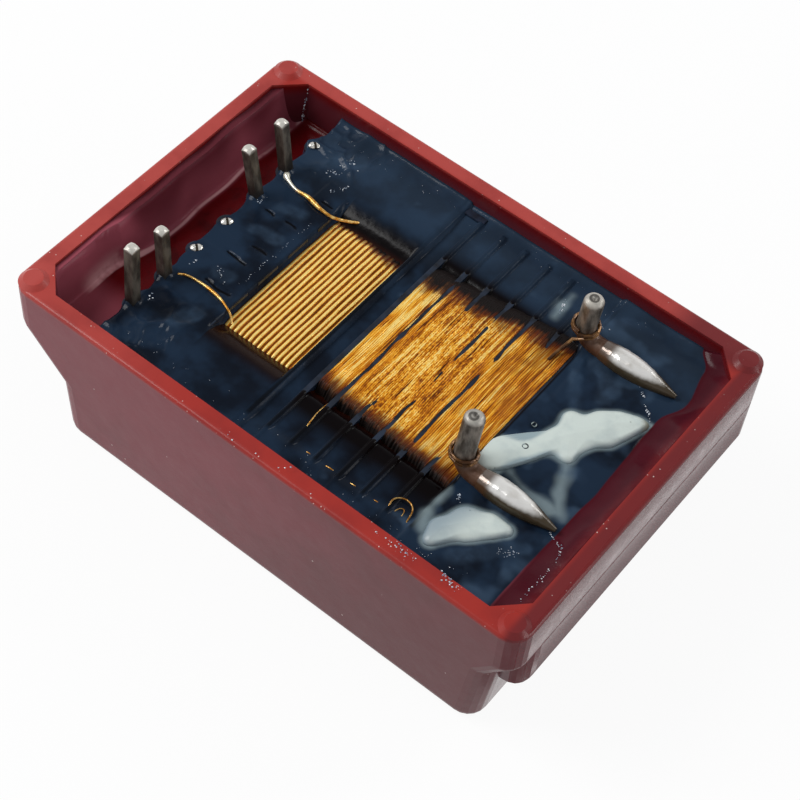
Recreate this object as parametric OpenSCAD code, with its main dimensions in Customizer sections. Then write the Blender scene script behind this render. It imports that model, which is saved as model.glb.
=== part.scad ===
// Potted high-voltage transformer for a circuit board, lying on its closed face with
// its pins up. Millimetres, +Z up, origin at the middle of the underside. The pin end
// is at -X, the output end at +X, and the long sides run along X.

/* [Case] */
// Length of the case over the rim
case_l = 34; // [32:0.5:38]
// Width of the case over the rim
case_w = 22.8; // [21:0.2:26]
// Height of the case up to the rim
case_h = 10.6; // [10:0.1:13]
// Thickness of the side and end walls
wall = 1; // [0.8:0.05:1.2]
// Thickness of the closed floor
floor_t = 1.2; // [0.8:0.1:1.6]
// Outer radius of the upright corners
corner_r = 1.2; // [0.8:0.1:2]
// Radius of the edges round the floor
foot_r = 0.7; // [0.3:0.1:1]
// Radius of the outer edge of the rim
rim_r = 0.25; // [0.1:0.05:0.4]
// Depth of the upper band that has the full length
band_h = 3.1; // [2.6:0.1:3.6]
// Distance the lower body stands back at the pin end
pin_end_step = 2.8; // [2.2:0.1:3.2]
// Height of the slope at the pin end
pin_slope_h = 3; // [2:0.1:3.4]
// Distance the lower body stands back at the output end
hv_end_step = 1.2; // [0.8:0.1:1.6]
// Height of the slope at the output end
hv_slope_h = 1.7; // [1.2:0.1:2.2]
// Draft of the lower end faces down to the floor
end_draft = 0.6; // [0.2:0.1:0.8]
// Height of the rib under the band at the output end
rib_h = 3.3; // [2:0.1:4]
// Distance the rib stops short of the near side
rib_relief = 1.3; // [0.8:0.1:2.5]
// Leg of the diagonal post inside each corner
post_leg = 1.5; // [1:0.1:2]
// Radius of the stand-off pad on each corner of the rim
pad_r = 0.85; // [0.5:0.05:1]
// Height of the stand-off pads above the rim
pad_h = 0.25; // [0.2:0.05:0.6]

/* [Potting resin] */
// Depth of the resin below the rim at the pin end
resin_drop_pins = 3.3; // [2.8:0.1:3.8]
// Depth of the resin below the rim at the output end
resin_drop_hv = 1.5; // [1.4:0.1:2]

/* [Bobbin] */
// Depth of the top of the bobbin below the rim
bobbin_drop = 1.35; // [1:0.05:1.8]
// Gap between the end blocks and the case walls
bobbin_gap = 0.3; // [0.15:0.05:0.5]
// Distance the flanges stop short of the end blocks' width, each side
flange_set_in = 0.4; // [0.2:0.1:1.2]
// Thickness of the flanges
flange_t = 0.3; // [0.25:0.05:0.4]
// Width of the winding tube, outside
tube_w = 9.4; // [8:0.2:10]
// Wall of the winding tube
tube_t = 0.5; // [0.4:0.05:0.7]
// Length of the pin block along the part
pin_block_l = 4; // [3.4:0.1:4.4]
// Length of the empty chamber between the two windings
spacer_l = 1.05; // [0.8:0.05:1.4]
// Thickness of the shelf that carries the output terminals
hv_shelf_t = 3; // [2.4:0.1:3]
// Radius of the boss round each pin
boss_r = 0.6; // [0.55:0.05:0.8]

/* [Windings] */
// Turns in the top layer of the primary
primary_turns = 15; // [13:1:16]
// Diameter of the primary wire
primary_wire_d = 0.33; // [0.3:0.01:0.36]
// Thickness of the primary winding on the tube
primary_build = 1.3; // [0.9:0.05:1.6]
// Number of secondary coils, one to a chamber
sections = 6; // [5:1:6]
// Distance from one secondary flange to the next
section_pitch = 1.58; // [1.4:0.02:1.64]
// Thickness of each secondary coil on the tube
secondary_build = 1.7; // [1.4:0.05:1.9]
// Depth of the secondary coils below the tops of the flanges
coil_drop = 0.12; // [0.08:0.02:0.4]
// Ridges that show across each secondary coil
secondary_ridges = 8; // [6:1:10]
// Play between a winding and its flanges
winding_gap = 0.06; // [0.03:0.01:0.1]
// Diameter of the wires that cross from chamber to chamber
link_d = 0.16; // [0.1:0.02:0.24]
// Play round the wires that run through the resin
wire_gap = 0.03; // [0.02:0.01:0.05]

/* [Core] */
// Play between the core and the tube
core_gap = 0.1; // [0.05:0.01:0.2]
// Distance the core stops short of the bobbin's ends
core_set_in = 0.4; // [0.2:0.1:1]

/* [Pins] */
// Spacing of the pin row
pin_pitch = 2.54; // [2.4:0.02:2.6]
// Side of the square pins
pin_s = 0.6; // [0.5:0.05:0.65]
// Distance of the pin row from the pin end of the case
pin_row_in = 5.2; // [4.9:0.1:5.6]
// Sideways shift of the whole row
pin_row_shift = 0.2; // [0:0.05:0.3]
// Depth of the pins in the block
pin_depth = 3.6; // [2.5:0.1:4.5]
// Height of a pin above the rim
pin_rise = 2.6; // [2:0.1:4]
// Extra height of the tallest pin
tall_pin_extra = 1.1; // [0.1:0.1:1.5]
// Height of a cut-off pin above the block
stub_rise = 0.25; // [0.1:0.05:0.4]
// Play round every pin
pin_gap = 0.02; // [0.01:0.01:0.05]

/* [Output terminals] */
// Diameter of the round output terminals
hv_d = 1.15; // [1:0.05:1.3]
// Distance between the output terminals
hv_spacing = 10.9; // [10:0.1:11.5]
// Sideways shift of the pair of output terminals
hv_shift = 1.25; // [0.8:0.05:1.4]
// Distance of the output terminals from the shelf's inner face, towards the pins
hv_overhang = 0.15; // [0:0.05:0.3]
// Height of the terminals' centre line above the shelf
hv_lift = 0.3; // [0.25:0.05:0.45]
// Bend radius of the terminals on their centre line
hv_bend_r = 0.95; // [0.8:0.05:1.2]
// Height of an output terminal above the rim
hv_rise = 2.4; // [1.8:0.1:3.5]
// Extra height of the second output terminal
hv_tall_extra = 0.6; // [0.1:0.1:1]
// Largest diameter of the solder that ends in a point past a terminal's lying leg
solder_d = 1.5; // [1.4:0.05:1.8]
// Diameter of the solder at its point
solder_tip_d = 0.24; // [0.16:0.02:0.4]
// Play round the terminals in their grooves
hv_gap = 0.02; // [0.01:0.01:0.05]
// Height of the tinned foot of an upright leg, which carries the wrapped lead
hv_foot_h = 0.5; // [0.4:0.05:0.6]
// Diameter of the lead wrapped round each terminal
wrap_d = 0.2; // [0.14:0.02:0.24]
// Turns of the lead round each terminal
wrap_turns = 2; // [1:1:2]

/* [Adhesive] */
// Thickness of the adhesive beads
bead_t = 0.4; // [0.25:0.05:0.6]
// Half width of the beads at their widest
bead_w = 1; // [0.8:0.05:1.1]

/* [Hidden] */

eps = 0.01;
round_fn = 48;
arc_steps = 5;

// case: x is counted from the middle, z from the underside
x_pin_end = -case_l / 2;
x_hv_end = case_l / 2;
pin_lean = atan(pin_end_step / pin_slope_h);
hv_lean = atan(hv_end_step / hv_slope_h);
pin_in_lift = wall * tan(pin_lean / 2);
hv_in_lift = wall * tan(hv_lean / 2);

// bobbin heights
top_z = case_h - bobbin_drop;
mid_z = (floor_t + top_z) / 2;
block_w = case_w - 2 * wall - 2 * bobbin_gap;
flange_w = block_w - 2 * flange_set_in;
flange_r = 0.8;
tube_h = top_z - floor_t - 2 * (coil_drop + secondary_build);
shelf_z = top_z - hv_shelf_t;
tube_r = 0.5;

// stations along the part
row_x = x_pin_end + pin_row_in;
block_x = row_x + 0.15;
primary_x = block_x + pin_block_l;
primary_l = primary_turns * primary_wire_d;
divider_x = primary_x + primary_l + 2 * winding_gap;
flange_x = [for (i = [0:sections]) divider_x + flange_t + spacer_l + i * section_pitch];
shelf_x = flange_x[sections];
coil_l = section_pitch - flange_t - 2 * winding_gap;
shelf_end = x_hv_end - wall - hv_end_step - bobbin_gap / 2;
tube_end = x_hv_end - wall - hv_end_step - end_draft - bobbin_gap;
foot_l = 1.6;
back_t = 1.2;
cheek_h = 0.9;
rail_t = 0.45;
rail_h = 1.4;
blend_r = 0.5;

// pins
pin_y = [for (i = [-3:3]) i * pin_pitch + pin_row_shift];
full_pins = [0, 1, 4, 5];
cut_pins = [2, 3, 6];
pin_tilt = [3, -1, -7, -6];
pin_sway = [0, 0, 2, 0];

// output terminals
hv_x = shelf_x - hv_overhang;
hv_y = [hv_shift + hv_spacing / 2, hv_shift - hv_spacing / 2];
hv_z = top_z + hv_lift;
hv_tilt = [4, 2];
hv_sway = [0, -7];
solder_x = hv_x + hv_bend_r + 0.4;
solder_l = shelf_end - 0.5 - solder_x;
leg_end = solder_x + solder_l * 0.45;

// slots in the flanges for the crossing wires
link_y = -flange_w / 2 + 1.05;
slot_w = 0.5;
slot_d = 1;
groove_w = 0.9;
groove_d = 0.45;

// Points of an arc from angle a to angle b
function arc(c, r, a, b, n = arc_steps) =
    [for (i = [0:n]) c + r * [cos(a + (b - a) * i / n), sin(a + (b - a) * i / n)]];

// Outline with its corners rounded: pts are the sharp corners, rs their radii
function unit(v) = v / norm(v);
function rounded(pts, rs) = [
    for (i = [0:len(pts) - 1])
        let (
            n = len(pts),
            p = pts[i],
            u = unit(pts[(i + n - 1) % n] - p),
            v = unit(pts[(i + 1) % n] - p),
            half = acos(u * v) / 2,
            back = rs[i] / tan(half),
            c = p + unit(u + v) * rs[i] / sin(half),
            a = atan2((p + u * back - c)[1], (p + u * back - c)[0]),
            b = atan2((p + v * back - c)[1], (p + v * back - c)[0]),
            turn = b - a > 180 ? b - a - 360 : b - a < -180 ? b - a + 360 : b - a
        )
        each rs[i] <= 0 ? [p] : arc(c, rs[i], a, a + turn)
];

// Round wire swept along a path by rings of equal turn
function cross_at(path, i) =
    let (
        a = path[max(i - 1, 0)],
        b = path[min(i + 1, len(path) - 1)],
        t = unit(b - a),
        side = unit(cross(t, abs(t[2]) > 0.9 ? [0, 1, 0] : [0, 0, 1]))
    )
    [side, cross(side, t)];
module wire(path, d, sides = 8) {
    n = len(path);
    pts = [
        for (i = [0:n - 1]) let (f = cross_at(path, i))
            for (k = [0:sides - 1])
                path[i] + (f[0] * cos(360 * k / sides) + f[1] * sin(360 * k / sides)) * d / 2
    ];
    walls = [
        for (i = [0:n - 2], k = [0:sides - 1])
            let (a = i * sides + k, b = i * sides + (k + 1) % sides)
            [a, b, b + sides, a + sides]
    ];
    caps = [[for (k = [sides - 1:-1:0]) k], [for (k = [0:sides - 1]) (n - 1) * sides + k]];
    polyhedron(pts, concat(walls, caps), convexity = 4);
}

// Path with every inner corner turned into a short curve
function soft(p, n = 4, s = 0.35) = [
    p[0],
    for (i = [1:len(p) - 2])
        let (a = p[i] + (p[i - 1] - p[i]) * s, b = p[i] + (p[i + 1] - p[i]) * s)
        for (k = [0:n])
            let (t = k / n) a * (1 - t) * (1 - t) + p[i] * 2 * t * (1 - t) + b * t * t,
    p[len(p) - 1]
];

// Solid skinned over a stack of outlines that all have as many points
module loft(rings) {
    m = len(rings[0]);
    n = len(rings);
    walls = [
        for (i = [0:n - 2], k = [0:m - 1])
            let (a = i * m + k, b = i * m + (k + 1) % m)
            each [[a, b + m, b], [a, a + m, b + m]]
    ];
    caps = [[for (k = [0:m - 1]) k], [for (k = [m - 1:-1:0]) (n - 1) * m + k]];
    polyhedron([for (r = rings) each r], concat(walls, caps), convexity = 6);
}

function sorted(v) =
    len(v) < 2 ? v :
    let (p = v[floor(len(v) / 2)])
    concat(sorted([for (x = v) if (x < p - eps) x]), [p], sorted([for (x = v) if (x > p + eps) x]));

// End profiles of the case as [height, x], from the floor to above the rim
function end_profile(s, step, slope_h, draft) = [
    for (p = rounded([
        [0, case_h + 2], [s * case_l / 2, case_h + 2],
        [s * case_l / 2, case_h - band_h],
        [s * (case_l / 2 - step), case_h - band_h - slope_h],
        [s * (case_l / 2 - step - draft), -1], [0, -1]
    ], [0, 0, blend_r, blend_r, 0, 0]))
        if (p[0] != 0) [p[1], p[0]]
];
pin_profile = end_profile(-1, pin_end_step, pin_slope_h, end_draft / 2);
hv_profile = end_profile(1, hv_end_step, hv_slope_h, end_draft);

// Outline of the case at one height, pulled in all round by in
function case_ring(z, in) =
    let (a = lookup(z, pin_profile) + in, b = lookup(z, hv_profile) - in, w = case_w / 2 - in)
    [
        for (p = rounded([[a, -w], [b, -w], [b, w], [a, w]], [1, 1, 1, 1] * max(corner_r - in, 0.15)))
            [p[0], p[1], z]
    ];

module case_body() {
    step = 90 / arc_steps;
    levels = sorted([
        for (p = concat(pin_profile, hv_profile)) if (p[0] > foot_r + eps && p[0] < case_h - rim_r) p[0]
    ]);
    loft([
        for (i = [0:arc_steps]) case_ring(foot_r * (1 - cos(i * step)), foot_r * (1 - sin(i * step))),
        for (z = levels) case_ring(z, 0),
        for (i = [0:arc_steps]) case_ring(case_h - rim_r * (1 - sin(i * step)), rim_r * (1 - cos(i * step)))
    ]);
}

module across(w) {
    rotate([90, 0, 0]) linear_extrude(w, center = true) children();
}
module plan_outline(l, w, r) {
    polygon(rounded([[-l, -w] / 2, [l, -w] / 2, [l, w] / 2, [-l, w] / 2], [r, r, r, r]));
}

module output_rib() {
    depth = hv_end_step + wall + 1;
    w = case_w - rib_relief;
    translate([x_hv_end - depth, 0, case_h - band_h - rib_h])
        intersection() {
            translate([depth / 2, rib_relief / 2, 0])
                linear_extrude(rib_h + eps) plan_outline(depth, w, corner_r);
            rotate([90, 0, 0]) linear_extrude(case_w + 1, center = true)
                polygon(rounded([
                    [0, depth * 0.5], [depth * 0.5, 0], [depth, 0], [depth, rib_h + 1], [0, rib_h + 1]
                ], [0, 0, 0.5, 0, 0]));
        }
}

// Side view of the space inside the case: the outer profile moved in by the wall
module cavity_outline(top) {
    polygon(rounded([
        [x_pin_end + wall, case_h + top],
        [x_pin_end + wall, case_h - band_h + pin_in_lift],
        [x_pin_end + wall + pin_end_step, case_h - band_h - pin_slope_h + pin_in_lift],
        [x_pin_end + wall + pin_end_step + end_draft / 2, floor_t],
        [x_hv_end - wall - hv_end_step - end_draft, floor_t],
        [x_hv_end - wall - hv_end_step, case_h - band_h - hv_slope_h + hv_in_lift],
        [x_hv_end - wall, case_h - band_h + hv_in_lift],
        [x_hv_end - wall, case_h + top]
    ], [0, blend_r, blend_r, blend_r, blend_r, blend_r, blend_r, 0]));
}

// Space inside the case, open at the top, with a diagonal post in each corner
module cavity(top = 1) {
    l = case_l - 2 * wall;
    w = case_w - 2 * wall;
    p = post_leg;
    intersection() {
        across(w) cavity_outline(top);
        linear_extrude(case_h + top)
            polygon([
                [-l / 2 + p, -w / 2], [l / 2 - p, -w / 2], [l / 2, -w / 2 + p], [l / 2, w / 2 - p],
                [l / 2 - p, w / 2], [-l / 2 + p, w / 2], [-l / 2, w / 2 - p], [-l / 2, -w / 2 + p]
            ]);
    }
}

module corner_pad() {
    in = pad_r + 0.1;
    for (sx = [-1, 1], sy = [-1, 1])
        translate([sx * (case_l / 2 - in), sy * (case_w / 2 - in), case_h - eps])
            cylinder(r1 = pad_r, r2 = pad_r * 0.65, h = pad_h + eps, $fn = round_fn);
}

module case() {
    color("firebrick") {
        difference() {
            union() {
                case_body();
                output_rib();
            }
            cavity();
        }
        corner_pad();
    }
}

// Square-cornered ring round the tube, from height h0 to h1 on it
module on_tube(grow) {
    w = tube_w + 2 * grow;
    h = tube_h + 2 * grow;
    r = tube_r + grow;
    polygon(rounded([[-w, -h] / 2, [w, -h] / 2, [w, h] / 2, [-w, h] / 2], [r, r, r, r]));
}

// Turns a shape drawn as y, z and length so that its length runs along +X from x
module along(x) {
    translate([x, 0, mid_z]) rotate([90, 0, 90]) children();
}
module plate(x, t, w, z0, z1) {
    translate([x, -w / 2, z0]) cube([t, w, z1 - z0]);
}
module flange(x) {
    h = top_z - floor_t;
    along(x) linear_extrude(flange_t) plan_outline(flange_w, h, flange_r);
}

module pin_block() {
    plate(block_x, pin_block_l, block_w, mid_z - tube_h / 2 - 1, top_z);
    plate(block_x + pin_block_l - back_t, back_t, block_w, floor_t, top_z);
    for (y = pin_y)
        translate([row_x, y, top_z - pin_depth - 0.4])
            cylinder(r = boss_r, h = pin_depth + 0.4, $fn = round_fn);
}
module output_shelf() {
    l = shelf_end - shelf_x;
    plate(shelf_x, l, block_w, shelf_z, top_z);
    plate(shelf_x, foot_l, flange_w, floor_t, top_z);
}
module side_cheeks() {
    w = (flange_w - tube_w) / 2 - primary_build - 0.4;
    for (s = [-1, 1])
        translate([primary_x - eps, s * (flange_w / 2 - w / 2) - w / 2, top_z - cheek_h])
            cube([divider_x - primary_x + 2 * eps, w, cheek_h]);
}
module side_rail() {
    translate([primary_x - eps, block_w / 2 - rail_t, top_z - rail_h])
        cube([flange_x[0] - primary_x + flange_t, rail_t, rail_h]);
    translate([flange_x[0], flange_w / 2 - eps, top_z - rail_h])
        cube([flange_t, flange_set_in, rail_h]);
}
module bobbin_mass() {
    pin_block();
    output_shelf();
    side_cheeks();
    side_rail();
    flange(divider_x);
    for (i = [0:sections - 1]) flange(flange_x[i]);
    along(block_x) linear_extrude(tube_end - block_x) on_tube(0);
}

module bobbin() {
    color([0.09, 0.11, 0.15]) difference() {
        bobbin_mass();
        along(block_x - boss_r - 1) linear_extrude(tube_end - block_x + boss_r + 2)
            square([tube_w, tube_h] - [2, 2] * tube_t, center = true);
        for (y = pin_y)
            translate([row_x, y - groove_w / 2, top_z - groove_d])
                cube([primary_x - row_x, groove_w, groove_d + 1]);
        for (y = pin_y) pin_foot(y, pin_depth + 1, pin_gap);
        for (k = [0, 1]) {
            hv_shape(k, hv_gap);
            solder_shape(k, hv_gap);
        }
        for (i = [1:sections - 1])
            translate([flange_x[i] - 1, link_y - slot_w / 2, top_z - slot_d])
                cube([2, slot_w, slot_d + 1]);
    }
}

module core_bar() {
    color("dimgray")
        along(block_x + core_set_in) linear_extrude(tube_end - block_x - 2 * core_set_in)
            square([tube_w, tube_h] - [2, 2] * (tube_t + core_gap), center = true);
}

// Half section of a winding: a plain body with a row of round ridges on top
module winding_section(l, build, ridges) {
    pitch = l / ridges;
    polygon(concat(
        [[build - pitch / 2, 0], [0, 0], [0, l], [build - pitch / 2, l]],
        [for (k = [ridges - 1:-1:0])
            each arc([build - pitch / 2, (k + 0.5) * pitch], pitch / 2, 80, -80, 4)]
    ));
}
module winding(x, l, build, ridges) {
    gap = 0.01;
    w = tube_w / 2 - tube_r;
    h = tube_h / 2 - tube_r;
    translate([x, 0, mid_z]) rotate([90, 0, 90]) {
        for (q = [0:3])
            translate([q == 0 || q == 3 ? w : -w, q < 2 ? h : -h, 0])
                rotate([0, 0, 90 * q]) rotate_extrude(angle = 90, $fn = round_fn)
                    translate([tube_r + gap, 0]) winding_section(l, build - gap, ridges);
        for (s = [-1, 1]) {
            translate([0, s * h, 0]) rotate([90, 0, 90]) linear_extrude(2 * w, center = true)
                scale([s, 1]) translate([tube_r + gap, 0]) winding_section(l, build - gap, ridges);
            translate([s * w, 0, 0]) rotate([90, 0, 0]) linear_extrude(2 * h, center = true)
                scale([s, 1]) translate([tube_r + gap, 0]) winding_section(l, build - gap, ridges);
        }
    }
}

module primary_winding() {
    color("goldenrod")
        winding(primary_x + winding_gap, primary_l, primary_build, primary_turns);
}
module secondary_coil(i) {
    color("darkgoldenrod")
        winding(flange_x[i] + flange_t + winding_gap, coil_l, secondary_build, secondary_ridges);
}

// Pins: square in the block, each full one leaning by its own few degrees above it
module pin_foot(y, h, gap = 0) {
    s = pin_s + 2 * gap;
    translate([row_x - s / 2, y - s / 2, top_z - pin_depth - gap]) cube([s, s, h + gap]);
}
module square_pin(k) {
    y = pin_y[full_pins[k]];
    rise = bobbin_drop + pin_rise + (k == 0 ? tall_pin_extra : 0);
    tip = pin_s * 0.35;
    color("silver") {
        pin_foot(y, pin_depth);
        translate([row_x, y, top_z]) rotate([pin_sway[k], pin_tilt[k], 0]) {
            translate([-pin_s / 2, -pin_s / 2, -0.05]) cube([pin_s, pin_s, rise - tip + 0.05]);
            intersection() {
                translate([-pin_s / 2, -pin_s / 2, 0]) cube([pin_s, pin_s, rise]);
                translate([0, 0, rise - tip - eps])
                    cylinder(r1 = pin_s * 0.75, r2 = pin_s * 0.3, h = tip + eps, $fn = round_fn);
            }
        }
    }
}
module cut_pin(k) {
    color("silver") pin_foot(pin_y[cut_pins[k]], pin_depth + stub_rise);
}

// Output terminal: a round wire that lies along the shelf and bends up, past upright
// by its tilt, and turned about its own foot by its sway. The bend is a hair thinner
// than the legs, which run a little way into it.
module hv_shape(k, gap = 0) {
    r = hv_d / 2 + gap;
    hair = 0.008;
    run_in = 0.05;
    foot = r + 0.04;
    tip = 0.35;
    dimple = 0.18;
    bend = 90 + hv_tilt[k];
    rise = case_h + hv_rise + (k == 1 ? hv_tall_extra : 0) - hv_z - hv_bend_r;
    translate([hv_x + hv_bend_r, hv_y[k], hv_z]) rotate([hv_sway[k], 0, 0]) {
        translate([-run_in, 0, 0]) rotate([0, 90, 0])
            cylinder(r = r, h = leg_end - hv_x - hv_bend_r + run_in + gap, $fn = round_fn);
        translate([0, 0, hv_bend_r]) {
            rotate([90, 0, 0]) rotate([0, 0, 270 - bend]) rotate_extrude(angle = bend, $fn = round_fn)
                translate([hv_bend_r, 0]) circle(r - hair, $fn = round_fn);
            rotate([0, hv_tilt[k], 0]) translate([-hv_bend_r, 0, 0]) {
                rotate_extrude($fn = round_fn)
                    polygon(concat(
                        [[0, -run_in], [foot, -run_in], [r, hv_foot_h]],
                        arc([r - tip, rise - tip], tip, 0, 90),
                        [[dimple, rise], [0, rise - dimple]]
                    ));
            }
        }
    }
}
module hv_terminal(k) {
    color("silver") hv_shape(k);
}
// Solder on the lying leg: half its width swells and shrinks as a sine, from just more
// than the leg's own radius to a blunt point
module solder_shape(k, gap = 0) {
    steps = 8;
    tip = solder_tip_d / 2 + gap;
    swell = solder_d / 2 + gap - tip;
    start = asin((hv_d / 2 + hv_gap + 0.02 - tip) / swell);
    translate([solder_x, hv_y[k], hv_z]) rotate([0, 90, 0])
        rotate_extrude($fn = round_fn)
            polygon(concat(
                [[0, 0]],
                [for (i = [0:steps])
                    [tip + swell * sin(start + (180 - start) * i / steps), solder_l * i / steps]],
                [[0, solder_l]]
            ));
}
module hv_solder(k) {
    color("gainsboro") difference() {
        solder_shape(k);
        hv_shape(k, hv_gap);
    }
}

// A point given in the frame of a terminal's upright leg, on whose axis z is counted
function turn_x(a, p) = [p[0], p[1] * cos(a) - p[2] * sin(a), p[1] * sin(a) + p[2] * cos(a)];
function turn_y(a, p) = [p[0] * cos(a) + p[2] * sin(a), p[1], p[2] * cos(a) - p[0] * sin(a)];
function on_leg(k, p) =
    [hv_x + hv_bend_r, hv_y[k], hv_z]
        + turn_x(hv_sway[k], [0, 0, hv_bend_r] + turn_y(hv_tilt[k], p - [hv_bend_r, 0, 0]));

// Lead that comes off the last coil and winds round the foot of a terminal
module hv_lead(k) {
    r = hv_d / 2 + wrap_d / 2 + 0.08;
    pitch = wrap_d * 1.15;
    z0 = hv_foot_h - wrap_turns * pitch - wrap_d * 1.2;
    in = [-1, 1][k];
    coil_z = top_z - coil_drop + wrap_d / 2 + 0.05;
    color("peru") wire(concat(
        soft([
            [flange_x[sections - 1] + section_pitch / 2, hv_y[k] + in * 3.1 * r, coil_z],
            [hv_x - r * 0.7, hv_y[k] + in * 2.2 * r, coil_z + wrap_d],
            on_leg(k, [-r * 0.2, in * (r + 0.15), z0 - 0.25])
        ]),
        [
            for (i = [1:wrap_turns * 12])
                let (t = in * 90 - in * i * 30)
                on_leg(k, [r * cos(t), r * sin(t), z0 + i * pitch / 12])
        ]
    ), wrap_d);
}

// Primary leads: from the foot of a pin along its groove to the first or last turn
module primary_lead(k) {
    i = [5, 1][k];
    side = [1, -1][k];
    y1 = side * (tube_w / 2 - 2 * primary_wire_d);
    z = top_z - groove_d + primary_wire_d / 2 + 0.03;
    x0 = row_x + pin_s / 2 + primary_wire_d / 2 + 0.05;
    zt = mid_z + tube_h / 2 + primary_build + primary_wire_d / 2 + 0.05;
    color("gold") wire(soft([
        [x0, pin_y[i], z], [x0 + pin_block_l * 0.3, pin_y[i], z],
        [primary_x + primary_wire_d * 0.3, pin_y[i] * 0.96, z],
        [primary_x + primary_wire_d, y1, zt + winding_gap],
        [primary_x + primary_wire_d * 2, y1 - side * primary_wire_d * 2.5, zt]
    ], 4, 0.2), primary_wire_d);
}

// Links: each takes the wire from one chamber over the slot into the next
module section_link(i, gap = 0) {
    xa = flange_x[i] + flange_t + coil_l * 0.75;
    xb = flange_x[i + 1] + flange_t + coil_l * 0.25;
    z = top_z - slot_d / 2;
    yc = -(tube_w / 2 + secondary_build) - link_d;
    color("gold") wire(soft([
        [xa, yc, mid_z + 1], [xa, link_y, mid_z + 1.6], [xa, link_y, z],
        [xb, link_y, z], [xb, link_y, mid_z + 1.6], [xb, yc, mid_z + 1]
    ], 2), link_d + 2 * gap, 6);
}

// Adhesive: flat drops joined into beads on the output shelf. A drop's place is given in
// shares of the shelf's length and of half its width, and its radius in drop widths.
module drop(p) {
    translate([shelf_x + p[0] * (shelf_end - shelf_x), p[1] * block_w / 2, top_z]) {
        cylinder(r = p[2] * bead_w, h = bead_t * 0.5, $fn = 24);
        cylinder(r = p[2] * bead_w * 0.72, h = bead_t, $fn = 24);
    }
}
module bead(chain) {
    for (i = [0:len(chain) - 2]) hull() {
        drop(chain[i]);
        drop(chain[i + 1]);
    }
}
module adhesive_bead(k) {
    chains = [
        [[[0.87, 0.44, 0.35], [0.69, 0.3, 0.8], [0.5, 0.16, 0.95], [0.3, 0.04, 0.6],
          [0.16, -0.09, 0.95]],
         [[0.53, 0.17, 0.5], [0.36, 0.25, 0.4]],
         [[0.5, 0.16, 0.5], [0.67, -0.06, 0.5]]],
        [[[0.66, -0.61, 0.6], [0.38, -0.69, 0.75], [0.19, -0.79, 0.5]]]
    ];
    color("honeydew") difference() {
        for (c = chains[k]) bead(c);
        for (t = [0, 1]) {
            hv_shape(t, hv_gap);
            solder_shape(t, hv_gap);
        }
    }
}

// Resin: fills the case up to a surface that rises towards the output end
module potting_resin() {
    climb = atan((resin_drop_pins - resin_drop_hv) / case_l);
    color([0.2, 0.05, 0.06]) difference() {
        intersection() {
            cavity();
            translate([0, 0, case_h - (resin_drop_pins + resin_drop_hv) / 2])
                rotate([0, -climb, 0]) translate([-case_l, -case_w, -2 * case_h])
                    cube([2 * case_l, 2 * case_w, 2 * case_h]);
        }
        bobbin_mass();
        along(primary_x - eps) linear_extrude(divider_x - primary_x + 2 * eps)
            on_tube(primary_build + winding_gap);
        for (i = [0:sections - 1])
            along(flange_x[i] + flange_t - eps) linear_extrude(section_pitch - flange_t + 2 * eps)
                on_tube(secondary_build + winding_gap);
        for (i = [0:sections - 2]) section_link(i, wire_gap);
    }
}

case();
potting_resin();
bobbin();
core_bar();
primary_winding();
for (i = [0:sections - 1])
    secondary_coil(i);
for (k = [0:3])
    square_pin(k);
for (k = [0:2])
    cut_pin(k);
for (k = [0:1])
    primary_lead(k);
for (i = [0:sections - 2])
    section_link(i);
for (k = [0:1])
    hv_terminal(k);
for (k = [0:1])
    hv_solder(k);
for (k = [0:1])
    hv_lead(k);
for (k = [0:1])
    adhesive_bead(k);
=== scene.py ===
import bpy
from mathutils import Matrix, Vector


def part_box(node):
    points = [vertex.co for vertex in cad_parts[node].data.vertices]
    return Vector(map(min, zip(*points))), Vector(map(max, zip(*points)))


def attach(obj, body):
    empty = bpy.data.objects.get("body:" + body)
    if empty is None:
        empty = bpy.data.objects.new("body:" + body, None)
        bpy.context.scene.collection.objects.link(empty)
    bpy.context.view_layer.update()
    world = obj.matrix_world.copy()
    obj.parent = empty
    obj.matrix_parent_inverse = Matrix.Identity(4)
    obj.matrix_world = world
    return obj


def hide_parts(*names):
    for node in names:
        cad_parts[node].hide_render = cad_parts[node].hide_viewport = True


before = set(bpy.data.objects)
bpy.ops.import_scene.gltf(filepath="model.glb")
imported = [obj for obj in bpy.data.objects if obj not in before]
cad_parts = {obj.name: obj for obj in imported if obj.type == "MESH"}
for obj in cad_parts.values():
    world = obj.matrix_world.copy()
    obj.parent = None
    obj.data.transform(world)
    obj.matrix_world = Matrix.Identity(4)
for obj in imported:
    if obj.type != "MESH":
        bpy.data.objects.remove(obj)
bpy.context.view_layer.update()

import bpy
import math
import numpy as np
from mathutils import Matrix, Vector

mm = 0.001


def nodeBox(node):  # lowest and highest corner of a solid, in mm
    low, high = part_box(node)
    return np.array(low) / mm, np.array(high) / mm


# places that every piece shares, in mm, all read from the solids
caseLow, caseHigh = nodeBox("case")
bobbinLow, bobbinHigh = nodeBox("bobbin")
coils = [nodeBox(f"secondary_coil_{i}") for i in range(1, 7)]
primaryLow, primaryHigh = nodeBox("primary_winding")
resinLow, resinHigh = nodeBox("potting_resin")
stubs = [sum(nodeBox(f"cut_pin_{i}")) / 2 for i in (1, 2, 3)]
pinPitch = stubs[1][1] - stubs[0][1]
pinRow = stubs[1][0]
pinPlaces = [stubs[1][1] + pinPitch * k for k in range(-3, 4)]
topZ = bobbinHigh[2]
coilPitch = coils[1][0][0] - coils[0][0][0]
besideCoil = 0.21  # from a coil's end to the middle of the flange beside it
flanges = [coils[0][0][0] - besideCoil + coilPitch * k for k in range(7)]
divider = primaryHigh[0] + besideCoil
shelfX = flanges[6] - 0.15
terminals = [(flanges[6] - 0.3, sum(nodeBox(f"hv_solder_{i}"))[1] / 2) for i in (1, 2)]


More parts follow.
